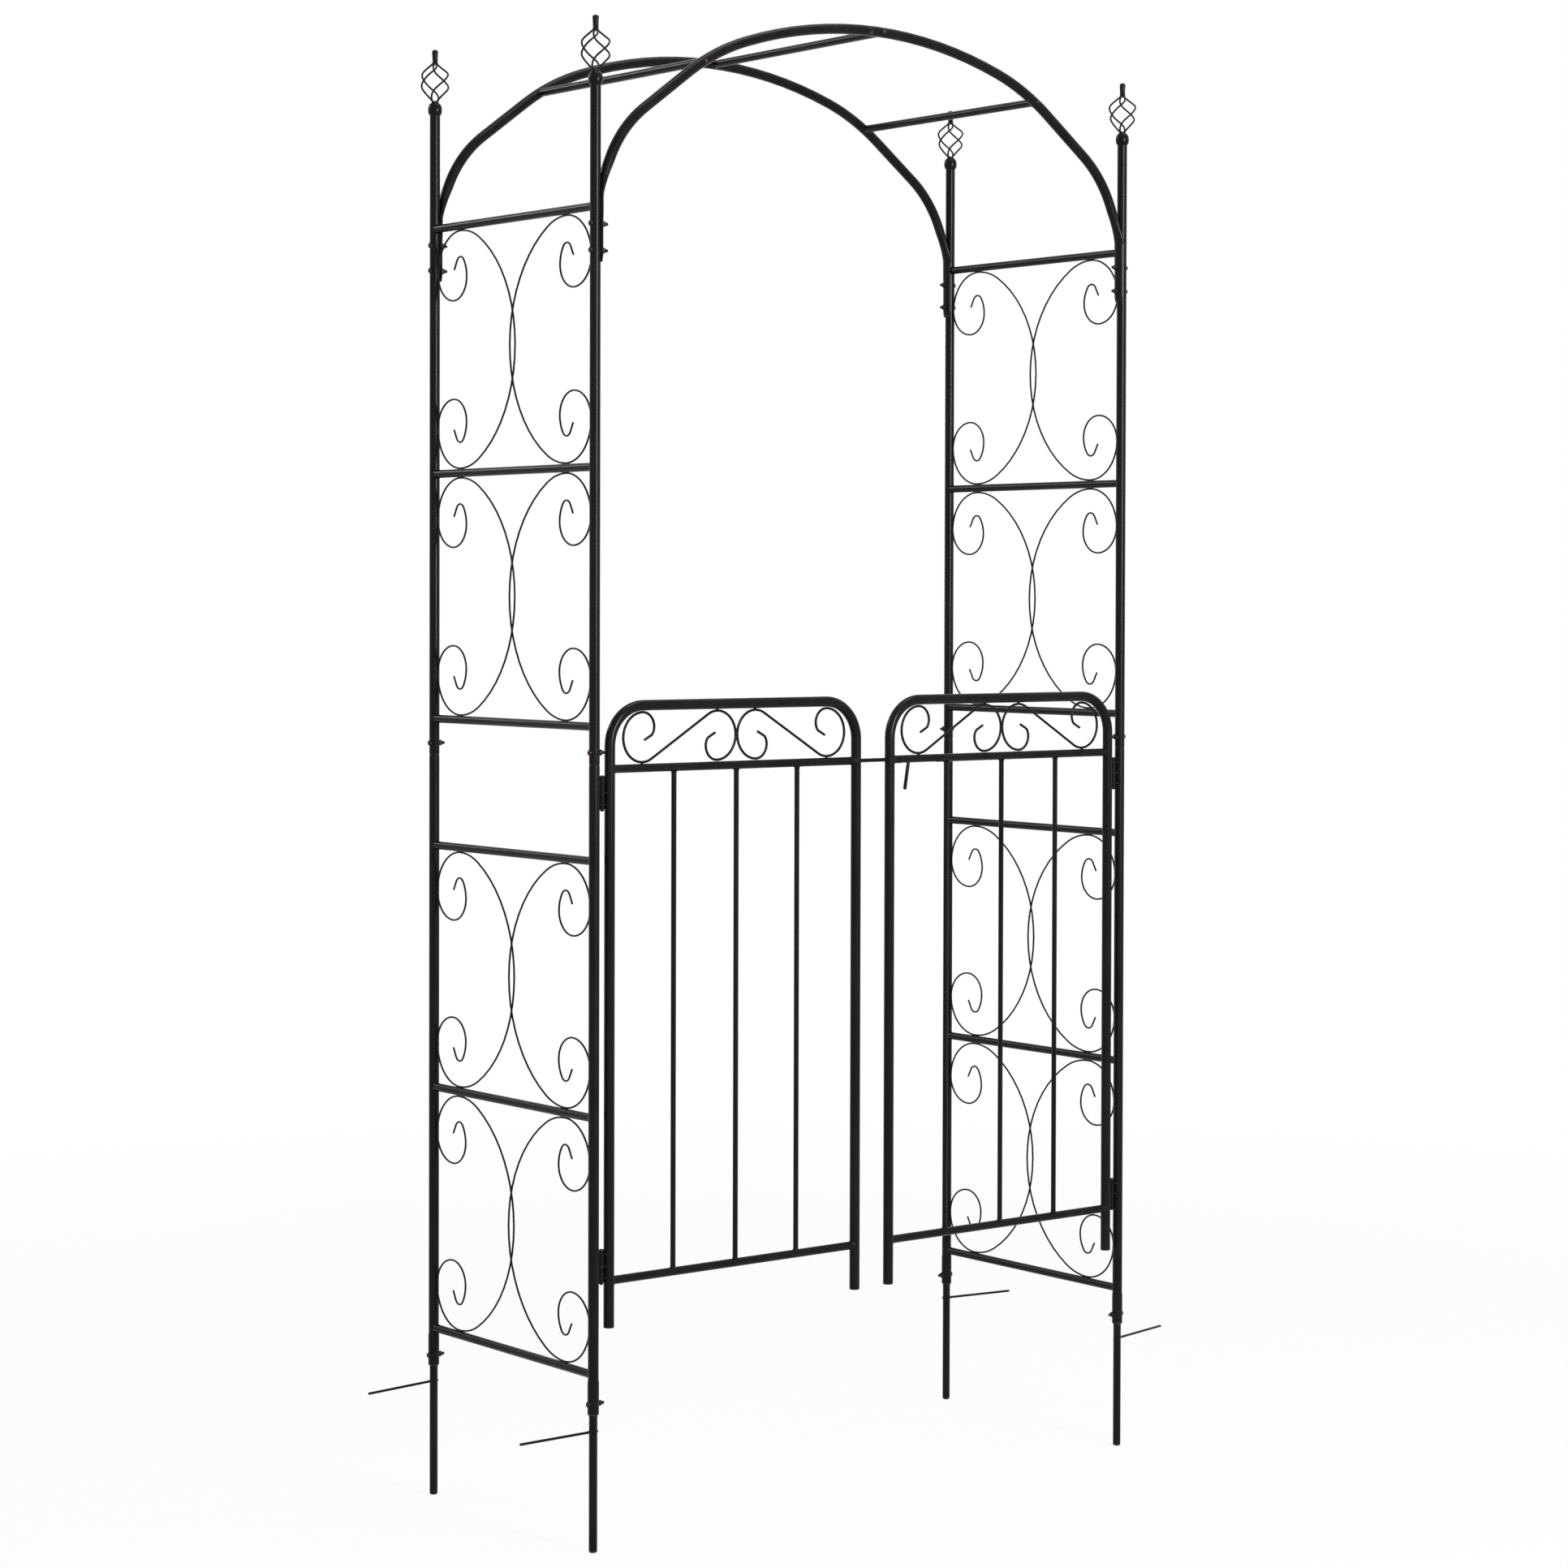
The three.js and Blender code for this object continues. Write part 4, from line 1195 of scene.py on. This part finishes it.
class Arch:
    """Two bent tubes front and back, each of two halves pressed onto their posts."""

    sizes = ARCH

    def __init__(self) -> None:
        """Works out the right half's line from the crown outward."""
        size = self.sizes
        self.curve = fitted(bent_rod(ARCH_BENDS, 0, 2.5), size.landing, size.crown - size.press_top)

    def tangent(self, index: int) -> Vector:
        """The line's direction at one of its points."""
        if index == 0:
            return Vector((1, 0))
        after = self.curve[min(index + 1, len(self.curve) - 1)]
        return (after - self.curve[index - 1]).normalized()

    def at(self, run: float) -> tuple[Vector, Vector]:
        """The point and the direction a run along the line from the crown."""
        for before, after in zip(self.curve, self.curve[1:]):
            length = (after - before).length
            if run <= length:
                return before.lerp(after, run / length), (after - before).normalized()
            run -= length
        raise ValueError("the run is longer than the arch")

    def at_height(self, z: float) -> tuple[Vector, Vector]:
        """The point and the direction at a height on the line's steep end, or straight on below it."""
        drop = z - self.sizes.crown
        for before, after in zip(self.curve, self.curve[1:]):
            if after.y <= drop <= before.y:
                share = (before.y - drop) / (before.y - after.y)
                return before.lerp(after, share), (after - before).normalized()
        end, way = self.curve[-1], self.tangent(len(self.curve) - 1)
        return end + (end.y - drop) / -way.y * way, way

    def ring(self, side: int, y: float, point: Vector, way: Vector, radius: float) -> Ring:
        """A round section of the tube, its first point on the inside of the arch."""
        centre = Vector((side * point.x, y, self.sizes.crown + point.y))
        inward = Vector((side * way.y, 0, -way.x))
        return circle(centre, inward, Vector((0, 1, 0)), radius, self.sizes.sides)

    def saddle_ring(self, side: int, row: int, z: float, half: float, thickness: float) -> Ring:
        """A level section of the pressed end round its post.

        Args:
            side: Minus one on the left.
            row: Minus one at the front.
            z: Its height.
            half: Half of the angle that it clasps, in degrees.
            thickness: Of the pressed tube.

        Returns:
            Points that match those of a round section.
        """
        size = self.sizes
        inner = POST.radius + size.grip
        outer = POST.radius + PLAN.gap + thickness
        notch = PANEL.rail + size.notch_room
        away = abs(z - PANEL.upper[1])
        limit = half
        if away < notch:
            open_half = math.sqrt(notch * notch - away * away)
            limit = min(half, 90 - math.degrees(math.asin(open_half / size.notch_radius)))
        fold = math.pi * size.fold_share
        points = []
        for a in angles(size.sides):
            signed = a if a <= math.pi else a - 2 * math.pi
            clasp = math.radians(limit if signed * row < 0 else half)
            share = abs(signed) / fold
            if share <= 1:
                radius = outer - 0.25 * thickness * max(0, share - 0.85) / 0.15
            else:
                share = (math.pi - abs(signed)) / (math.pi - fold)
                radius = inner + 0.15 * thickness * max(0, share - 0.85) / 0.15
            angle = math.copysign(clasp * share, signed)
            x = side * (PLAN.half - radius * math.cos(angle))
            points.append(Vector((x, row * PLAN.depth / 2 + radius * math.sin(angle), z)))
        return points

    def pressed(self, side: int, row: int) -> list[Ring]:
        """The rings from the round tube down to the saddle's foot."""
        size = self.sizes
        y = row * PLAN.depth / 2
        rings = []
        for step in range(1, size.press_steps):
            share = step / size.press_steps
            weight = share**size.press_power
            z = size.press_start + (size.saddle_top - size.press_start) * share
            angle = size.first_angle + (size.ear_angle - size.first_angle) * share
            tube = self.ring(side, y, *self.at_height(z), size.radius)
            flat = self.saddle_ring(side, row, z, angle, size.first_thickness - size.squeeze * share)
            rings.append([self.kept_off(side, y, one.lerp(other, weight)) for one, other in zip(tube, flat)])
        flank = size.flank_angle
        levels = [
            (size.saddle_top, size.ear_angle, 4.3),
            (size.saddle_top - 1.2, size.ear_angle - 3, 4.25),
            (size.saddle_top - 4, flank, 4.2),
        ]
        levels += [(PANEL.upper[1] + offset, flank, 4.1) for offset in size.rail_offsets]
        levels += [(height, flank, size.thickness) for height in size.flank_heights]
        levels += [(size.saddle_foot + 1, flank - 0.5, 2.7), (size.saddle_foot, flank - 3, 2.2)]
        rings += [self.saddle_ring(side, row, *level) for level in levels]
        return rings

    def kept_off(self, side: int, y: float, point: Vector) -> Vector:
        """The point, moved out of the post if it lies in it."""
        axis = Vector((side * PLAN.half, y))
        flat = point.xy - axis
        nearest = POST.radius + self.sizes.grip
        if flat.length >= nearest:
            return point
        flat = axis + nearest * flat.normalized()
        return Vector((flat.x, flat.y, point.z))

    def half(self, piece: Piece, side: int, row: int) -> None:
        """Adds one half of an arch tube; the right half's neck enters the left one."""
        size = self.sizes
        y = row * PLAN.depth / 2
        bore = size.radius - size.wall
        if side > 0:
            seam = [
                (size.seam + size.neck, bore - PLAN.gap, 0), (size.seam, bore - PLAN.gap, 0),
                (size.seam, size.radius - 0.5, 0.6), (size.seam - 0.5, size.radius, 0.7),
                (6, size.radius, 0), (2, size.radius, 0),
            ]
            start = 0
        else:
            seam = [
                (size.seam + 20, bore, 0), (size.seam + 0.5, bore, 0.3),
                (size.seam + 0.5, size.radius - 0.5, 0.7), (size.seam + 1, size.radius, 0.6),
            ]
            start = next(index for index, point in enumerate(self.curve) if point.x > size.seam + 3)
        rings: list[Ring] = []
        for run, radius, _ in seam:
            point, way = self.at(run)
            mirrored = Vector((-side * point.x, point.y))
            rings.append(self.ring(side, y, mirrored, Vector((way.x, -side * way.y)), radius))
        round_end = size.press_start - size.crown
        for index in range(start, len(self.curve)):
            if self.curve[index].y > round_end:
                rings.append(self.ring(side, y, self.curve[index], self.tangent(index), size.radius))
        wear = [worn for _, _, worn in seam] + [0] * (len(rings) - len(seam))
        pressed = self.pressed(side, row)
        wear += [0.15] * (len(pressed) - 2) + [0.5, 0.6]
        piece.shell.skin([*rings, *pressed], wear=wear)

    def build(self, shop: Workshop) -> None:
        """Builds the four halves, one piece each."""
        for row in Row:
            for side in Side:
                name = f"arch_tube_{row.label}_{side.label}"
                piece = Piece(shop, name.title(), Body.FRAME)
                self.half(piece, side.value, row.value)
                piece.finish([name])


class Crossbars:
    """Three rails between the arch tubes, each held by a screw at both ends."""

    run = 349
    middle_run = 12
    screw_head = 3.4

    def build(self, shop: Workshop, arch: Arch) -> None:
        """Builds each crossbar, and the screws as one piece."""
        head = self.screw_head
        screw = [
            (0, 0), (head, 0, 0.6), (head, 0.9, 0.8), (head * 0.93, 1.5, 0.5), (head * 0.7, 2.2, 0.4),
            (head * 0.34, 2.6, 0.6), (0, 2.7, 0.7),
        ]
        screws = Piece(shop, "Crossbar_Screws", Body.FRAME, Slot.DARK_ZINC)
        places = {"left": (-1, self.run), "middle": (1, self.middle_run), "right": (1, self.run)}
        for label, (side, run) in places.items():
            point, way = arch.at(run)
            middle = Vector((side * point.x, 0, arch.sizes.crown + point.y))
            across = Vector((side * way.y, 0, -way.x))
            ends = [middle + Vector((0, row.value * PLAN.depth / 2, 0)) for row in Row]
            piece = Piece(shop, f"Crossbar_{label}", Body.FRAME)
            coped_rail(piece.shell, *ends, arch.sizes.radius, across)
            piece.finish([f"crossbar_{label}"])
            for row, end in zip(Row, ends):
                out = Vector((0, row.value, 0))
                screws.shell.lathe(screw, 20, frame_along(end + (arch.sizes.radius - 0.5) * out, out))
        screws.finish([])


class Fasteners:
    """The through bolts of the posts: domed heads outside, hex nuts and thread ends inside."""

    sizes = BoltSizes()

    def build(self, shop: Workshop) -> None:
        """Builds one corner's bolts and copies them."""
        size = self.sizes
        saddle = POST.radius + PLAN.gap + ARCH.thickness
        socket = POST.radius + POST.swell
        upper_drop, lower_drop = size.arch_drops
        places = {
            "foot_bolt": (POST.low_seam + size.foot_rise, socket, socket),
            "mid_bolt": (POST.mid_seam + size.mid_rise, POST.radius, POST.radius),
            "arch_bolt_upper": (POST.top - upper_drop, POST.radius, saddle),
            "arch_bolt_lower": (POST.top - lower_drop, POST.radius, saddle),
        }
        for name, (height, outer, inner) in places.items():
            piece = Piece(shop, name.title() + "s", Body.FRAME, Slot.DARK_ZINC)
            self.head(piece.shell, frame_along(Vector((outer - 0.4, 0, height)), Vector((1, 0, 0))))
            inward = frame_along(Vector((-inner + 0.3, 0, height)), Vector((-1, 0, 0)))
            self.nut(piece.shell, inward, size.nut_height + 0.6)
            self.thread(piece.shell, inward)
            piece.finish([f"{name}_{corner}" for corner in CORNERS], at_corners=True)

    def head(self, shell: Shell, at: Matrix) -> None:
        """Adds a domed head."""
        size = self.sizes
        wide, shoulder = size.head, size.shoulder
        dome = size.head_height - 0.8
        profile = [(0, 0), (wide * 0.97, 0, 0.5), (wide, 0.4, 0.7), (wide, shoulder, 0.5)]
        for step, worn in enumerate((0.2, 0.1, 0.1, 0.2, 0.4), 1):
            angle = step * math.pi / 12
            profile.append((wide * math.cos(angle), shoulder + dome * math.sin(angle), worn))
        shell.lathe([*profile, (0, shoulder + dome, 0.5)], 28, at)

    def thread(self, shell: Shell, at: Matrix) -> None:
        """Adds the end of a thread, all of it a little worn."""
        size = self.sizes
        end = size.tail
        profile = [(0, 0)]
        for index in range(int((size.tail - 1) / size.pitch)):
            start = 0.3 + index * size.pitch
            profile += [(size.radius - 0.32, start), (size.radius, start + size.pitch / 2)]
        profile += [(size.radius - 0.3, end - 0.5), (size.radius - 0.8, end), (0, end)]
        shell.lathe([(*point, 0.3) for point in profile], 18, at)

    def nut(self, shell: Shell, at: Matrix, top: float) -> None:
        """Adds a hex nut with chamfered corners."""
        flat = self.sizes.nut
        corner = flat / math.cos(math.pi / 6)
        rings = []
        for height, limit in ((0.3, flat), (0.8, corner), (top - 0.7, corner), (top, flat)):
            ring = []
            for a in angles(36):
                folded = (a + math.pi / 6) % (math.pi / 3) - math.pi / 6
                reach = min(flat / math.cos(folded), limit)
                ring.append(at @ (Vector((math.cos(a), math.sin(a), 0)) * reach + height * UP))
            rings.append(ring)
        shell.skin(rings, wear=[0.2, 0.35, 0.4, 0.35])


def gate_place(side: Side) -> tuple[Matrix, Body]:
    """How a piece drawn for the right is turned to its side, and the body of that side's gate."""
    half_turn = Matrix.Rotation(math.pi if side is Side.LEFT else 0, 4, "Z")
    body = Body.LEFT_GATE if side is Side.LEFT else Body.RIGHT_GATE
    return Matrix.Translation((0, -PLAN.depth / 2, 0)) @ half_turn, body


class Gates:
    """A pair of gates; both are drawn for the right and the left one is turned half round."""

    sizes = GATE
    latch = LatchSizes()

    def build(self, shop: Workshop) -> None:
        """Builds each gate's frame, mid rail, grille and scrolls."""
        pieces = {
            "gate_frame": self.frame,
            "gate_mid_rail": self.mid_rail,
            "gate_grille": self.grille,
            "gate_scrolls": self.scrolls,
        }
        for side in Side:
            turn, body = gate_place(side)
            for name, draw in pieces.items():
                piece = Piece(shop, f"{name.title()}_{side.label}", body)
                draw(piece, side)
                piece.finish([f"{name}_{side.label}"], turn, rod_sides=14)

    def frame(self, piece: Piece, side: Side) -> None:
        """The bent frame tube, open at its feet."""
        size = self.sizes
        leg = size.top_rail - size.foot - size.corner
        top = size.hinge_stile - size.latch_stile - 2 * size.corner
        bends = [Bend(leg), Bend(size.corner, 90), Bend(top), Bend(size.corner, 90), Bend(leg)]
        points = bent_rod(bends, 90, 5)
        bore = size.radius - size.wall
        line = [Vector((size.latch_stile + point.x, 0, size.foot + point.y)) for point in points]
        foot = ((size.open_depth, bore, 0), (0.4, bore, 0.4), (0, bore + 0.4, 0.7))
        foot += ((0, size.radius - 0.5, 0.9), (0.5, size.radius, 0.7), (3, size.radius, 0))
        sections = [(line[0] + rise * UP, UP, radius, worn) for rise, radius, worn in foot]
        for before, centre, after in zip(line, line[1:], line[2:]):
            sections.append((centre, (after - before).normalized(), size.radius, 0))
        sections += [(line[-1] + rise * UP, -UP, radius, worn) for rise, radius, worn in reversed(foot)]
        depth = Vector((0, 1, 0))
        rings = [circle(centre, depth, way.cross(depth), radius, 32) for centre, way, radius, _ in sections]
        piece.shell.skin(rings, wear=[worn for *_, worn in sections])
        is_left = side is Side.LEFT
        start = Vector((size.latch_stile - size.radius - 6, 0, size.mid_rail))
        reach = size.latch_stile + (bore if is_left else size.radius + 6)
        hole = self.latch.hole if is_left else self.latch.radius + 0.6
        piece.cut(start, Vector((reach, 0, size.mid_rail)), hole)

    def rail(self, piece: Piece, height: float, bore: float = 0) -> None:
        """A rail coped to both stiles."""
        size = self.sizes
        ends = [Vector((x, 0, height)) for x in (size.latch_stile, size.hinge_stile)]
        coped_rail(piece.shell, *ends, size.radius, Vector((0, 1, 0)), bore)

    def mid_rail(self, piece: Piece, side: Side) -> None:
        """The mid rail; the right one is bored for the bolt and slotted for its handle."""
        size, latch = self.sizes, self.latch
        if side is Side.LEFT:
            self.rail(piece, size.mid_rail)
            return
        self.rail(piece, size.mid_rail, PANEL.rail - 1)
        low = Vector((latch.slot[0], -latch.slot_room, size.mid_rail - PANEL.rail - 6))
        high = Vector((latch.slot[1], latch.slot_room, size.mid_rail))
        piece.cut_box(low, high)

    def grille(self, piece: Piece, side: Side) -> None:
        """The bottom rail and the bars that stand on it."""
        size = self.sizes
        self.rail(piece, size.bottom_rail)
        pitch = (size.hinge_stile - size.latch_stile) / (size.bars + 1)
        for index in range(size.bars):
            x = size.latch_stile + pitch * (index + 1)
            foot = Vector((x, 0, size.bottom_rail + PANEL.rail - 0.9))
            head = Vector((x, 0, size.mid_rail - PANEL.rail - 0.05))
            piece.rods.rod([foot, foot.lerp(head, 0.5), head], size.bar, flare=1.1, dome=False)

    def scrolls(self, piece: Piece, side: Side) -> None:
        """Two S-scrolls back to back between the mid rail and the top rail."""
        size = self.sizes
        floor = size.mid_rail + PANEL.rail
        ceiling = size.top_rail - size.radius
        middle = (floor + ceiling) / 2
        up = (ceiling - floor) / 2 - size.scroll - PLAN.gap
        across = size.scroll_width_share * (size.hinge_stile - size.latch_stile) / 2
        half = fitted(bent_rod(GATE_SCROLL, 30, 6), across, up)
        below = [Vector((-point.x, -point.y)) for point in reversed(half[1:])]
        whole = below + half[1:]
        centre = (size.hinge_stile + size.latch_stile) / 2
        peak = max(half, key=lambda point: point.y)
        for hand in (-1, 1):
            axis = centre + hand * (across + size.scroll - PANEL.weld)
            line = [Vector((axis - hand * point.x, 0, middle + point.y)) for point in whole]
            piece.rods.rod(line, size.scroll)
            for end in (-1, 1):
                top = Vector((axis - hand * end * peak.x, 0, middle + end * (up + size.scroll * 0.6)))
                piece.rods.weld_at(top, 1.9)
                piece.rods.weld_at(top + Vector((1.5, 0, 0)), 1.7)
        for height in (-1, 1):
            piece.rods.weld_at(Vector((centre, 0, middle + height * 2.2)), 1.5)


class Hinges:
    """Two hinges on each gate: a leaf curled on each tube, knuckles, and a pin with a ball."""

    sizes = HingeSizes()

    def build(self, shop: Workshop) -> None:
        """Builds the leaves of the posts and of the gates."""
        for side in Side:
            turn, gate = gate_place(side)
            leaves = {"post": (Body.FRAME, self.post_leaf), "gate": (gate, self.gate_leaf)}
            for label, foot in (("upper", self.sizes.upper), ("lower", self.sizes.lower)):
                for kind, (body, draw) in leaves.items():
                    name = f"hinge_{kind}_leaf_{label}_{side.label}"
                    piece = Piece(shop, name.title(), body)
                    draw(piece.shell, foot, -side.value)
                    piece.finish([name], turn)

    def strip(self, shell: Shell, axis: float, way: int, foot: float, front: int) -> None:
        """Adds a curled strip, its rivets on the front."""
        size = self.sizes
        inner = POST.radius + 0.05
        outer = POST.radius + PLAN.gap + size.leaf
        half = math.radians(size.leaf_angle)
        steps = 12

        def outline(height: float, inset: float) -> Ring:
            """The strip's section, drawn in at its outer edges."""
            reach = half - inset / outer
            spread = [reach * (2 * step / steps - 1) for step in range(steps + 1)]
            points = [Vector((math.cos(a), math.sin(a), 0)) * (outer - inset) for a in spread]
            points += [Vector((math.cos(a), math.sin(a), 0)) * inner for a in reversed(spread)]
            return [Vector((axis + way * point.x, point.y, height)) for point in points]

        top = foot + size.height
        levels = [(foot, 0.35), (foot + 0.35, 0), (foot + 2, 0), (top - 2, 0), (top - 0.35, 0), (top, 0.35)]
        wear = [0.6, 0.5, 0, 0, 0.5, 0.6]
        shell.skin([outline(height, inset) for height, inset in levels], wear=wear)
        rivet = [(0, 0), (1.7, 0, 0.3), (1.6, 0.5, 0.5), (1.2, 0.9, 0.5), (0.6, 1.15, 0.6), (0, 1.2, 0.7)]
        angle = front * math.radians(20)
        out = Vector((way * math.cos(angle), math.sin(angle), 0))
        for height in (foot + 7, foot + size.height / 2, top - 7):
            start = Vector((axis, 0, height)) + (outer - 0.3) * out
            shell.lathe(rivet, 16, frame_along(start, out))

    def neck(self, shell: Shell, axis: float, way: int, low: float, high: float) -> None:
        """Adds the plate from a strip to its knuckle."""
        size = self.sizes
        start = axis + way * (POST.radius + PLAN.gap + size.leaf * 0.5)
        half = size.neck / 2
        ease = 0.4
        flat = half - ease
        corners = (
            (-flat, low), (flat, low), (half, low + ease), (half, high - ease),
            (flat, high), (-flat, high), (-half, high - ease), (-half, low + ease),
        )
        shell.skin([[Vector((x, y, z)) for y, z in corners] for x in (start, size.axis)])

    def knuckle(self, shell: Shell, low: float, high: float) -> None:
        """Adds a knuckle with eased ends."""
        size = self.sizes
        radius = size.knuckle
        lower = [(0, low), (radius - 0.5, low, 0.7), (radius, low + 0.5, 0.5), (radius, low + 2)]
        upper = [(radius, high - 2), (radius, high - 0.5, 0.5), (radius - 0.5, high, 0.7), (0, high)]
        shell.lathe([*lower, *upper], 24, Matrix.Translation((size.axis, 0, 0)))

    def post_leaf(self, shell: Shell, foot: float, front: int) -> None:
        """Adds the post's leaf with the pin, its head above and its ball below."""
        size = self.sizes
        middle = foot + size.height / 2 - 0.15
        self.strip(shell, PLAN.half, -1, foot, front)
        self.neck(shell, PLAN.half, -1, foot, middle)
        self.knuckle(shell, foot, middle)
        at = Matrix.Translation((size.axis, 0, 0))
        top = foot + size.height + 0.1
        cap = size.pin_head
        pin = [
            (0, middle - 2), (1.7, middle - 2), (1.7, top), (cap - 0.2, top, 0.5), (cap, top + 0.3, 0.8),
            (cap - 0.2, top + 0.9, 0.8), (cap - 1.1, top + 1.15, 0.6), (0, top + 1.2, 0.6),
        ]
        shell.lathe(pin, 20, at)
        ball = [(0, foot - size.ball, 0.6)]
        for step, worn in enumerate((0.6, 0.5, 0.4, 0.3, 0.2), 1):
            angle = -math.pi / 2 + step * math.pi / 12
            ball.append((size.ball * math.cos(angle), foot + size.ball * math.sin(angle), worn))
        shell.lathe([*ball, (size.ball * 0.7, foot + 1), (0, foot + 1)], 20, at)

    def gate_leaf(self, shell: Shell, foot: float, front: int) -> None:
        """Adds the gate's leaf."""
        size = self.sizes
        low = foot + size.height / 2 + 0.15
        high = foot + size.height
        self.strip(shell, GATE.hinge_stile, 1, foot, front)
        self.neck(shell, GATE.hinge_stile, 1, low, high)
        self.knuckle(shell, low, high)


class Latch:
    """The slide bolt with its leaning handle."""

    sizes = LatchSizes()

    def build(self, shop: Workshop) -> None:
        """Builds the bolt."""
        size = self.sizes
        piece = Piece(shop, "Slide_Bolt", Body.SLIDE_BOLT)
        place = Vector((0, -PLAN.depth / 2, GATE.mid_rail))
        tip = place + Vector((size.tip + size.end_dome, 0, 0))
        tail = place + Vector((size.tip + size.length - size.end_dome, 0, 0))
        piece.rods.rod([tip, tip.lerp(tail, 0.5), tail], size.radius)
        grip = place + Vector((size.tip + size.handle_run, 0, 0))
        end = grip + Vector((-size.handle_lean, 0, -size.handle_drop + size.handle_dome))
        piece.rods.rod([end, end.lerp(grip, 0.5), grip], size.handle)
        piece.rods.weld_at(grip - Vector((0.5, 0, size.radius)), size.handle_bead)
        piece.finish(["latch_bolt"], rod_sides=20)


@dataclass(frozen=True)
class Lamp:
    """A soft rectangular lamp, in metres and watts."""

    name: str
    place: tuple[float, float, float]
    aim: tuple[float, float, float]
    size: tuple[float, float]
    power: float

    def build(self) -> None:
        """Puts it in the scene, unseen by the camera."""
        data = bpy.data.lights.new(self.name, "AREA")
        data.shape = "RECTANGLE"
        data.size, data.size_y = self.size
        data.energy = self.power
        place = Vector(self.place)
        turn = (Vector(self.aim) - place).to_track_quat("-Z", "Y").to_matrix().to_4x4()
        lamp = linked(self.name, data)
        lamp.matrix_world = Matrix.Translation(place) @ turn
        lamp.visible_camera = False


class Studio:
    """The photograph's camera, soft lamps and a pale floor."""

    image = 1932
    focal = 4347.3
    centre = (1031.41, 813.84)
    place = Vector((-3.52356, -4.46441, 1.40792))
    azimuth = 39.091
    elevation = -0.9986
    roll = 0.171
    sensor = 36
    clip_end = 200
    floor_reach = 40
    floor_sides = 48
    floor_height = -0.0005
    ambient = 0.3
    lamps = (
        Lamp("Strip_Front", (0.15, -5.2, 2.3), (0, 0, 2.1), (0.5, 2.1), 250),
        Lamp("Rail_Light", (-3.6, 4.8, 4.4), (0, 0, 1.2), (2.6, 1.0), 85),
        Lamp("Soft_Top", (0.4, -0.6, 5.4), (0, 0, 1), (2.5, 2.5), 60),
    )

    def camera(self) -> None:
        """Puts the camera where the photograph was taken from."""
        data = bpy.data.cameras.new("Photo_Camera")
        data.sensor_width = self.sensor
        data.sensor_fit = "HORIZONTAL"
        data.lens = self.focal / self.image * self.sensor
        data.shift_x = (self.image / 2 - self.centre[0]) / self.image
        data.shift_y = (self.centre[1] - self.image / 2) / self.image
        data.clip_end = self.clip_end
        azimuth, elevation, roll = (math.radians(v) for v in (self.azimuth, self.elevation, self.roll))
        flat = math.cos(elevation)
        ahead = Vector((math.sin(azimuth) * flat, math.cos(azimuth) * flat, math.sin(elevation)))
        level = Vector((math.cos(azimuth), -math.sin(azimuth), 0))
        upright = level.cross(ahead)
        right = math.cos(roll) * level + math.sin(roll) * upright
        top = -math.sin(roll) * level + math.cos(roll) * upright
        camera = linked("Photo_Camera", data)
        turn = Matrix((right, top, -ahead)).transposed().to_4x4()
        camera.matrix_world = Matrix.Translation(self.place) @ turn
        bpy.context.scene.camera = camera

    def world(self) -> None:
        """White where it is seen or mirrored, plain soft light elsewhere."""
        world = bpy.data.worlds.new("Studio_World")
        world.use_nodes = True
        bpy.context.scene.world = world
        graph = Graph(world.node_tree)
        graph.tree.nodes.clear()
        soft = graph.field("ShaderNodeBackground", {"Color": WHITE, "Strength": self.ambient})
        white = graph.field("ShaderNodeBackground", {"Color": WHITE, "Strength": 1.0})
        shine = graph.field("ShaderNodeMixShader", {0: seen_directly(graph), 1: soft, 2: white})
        graph.node("ShaderNodeOutputWorld", {"Surface": shine})

    def floor(self) -> None:
        """A wide pale floor under the stakes."""
        disc = bmesh.new()
        bmesh.ops.create_circle(disc, cap_ends=True, segments=self.floor_sides, radius=self.floor_reach)
        mesh = bpy.data.meshes.new("Studio_Floor")
        disc.to_mesh(mesh)
        disc.free()
        mesh.materials.append(StudioWhite().material)
        floor = linked("Studio_Floor", mesh)
        floor.location.z = self.floor_height

    def build(self) -> None:
        """Sets everything up."""
        bpy.context.scene.view_settings.view_transform = "Standard"
        self.camera()
        for lamp in self.lamps:
            lamp.build()
        self.world()
        self.floor()


def main() -> None:
    """Builds the looks."""
    logging.basicConfig(level=logging.INFO, format="%(message)s")
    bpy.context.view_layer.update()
    shop = Workshop()
    arch = Arch()
    makers = (Posts(), Stakes(), Finials(), TrellisPanels(), arch, Fasteners(), Gates(), Hinges(), Latch())
    for maker in makers:
        maker.build(shop)
    Crossbars().build(shop, arch)
    Studio().build()


if __name__ == "__main__":
    main()
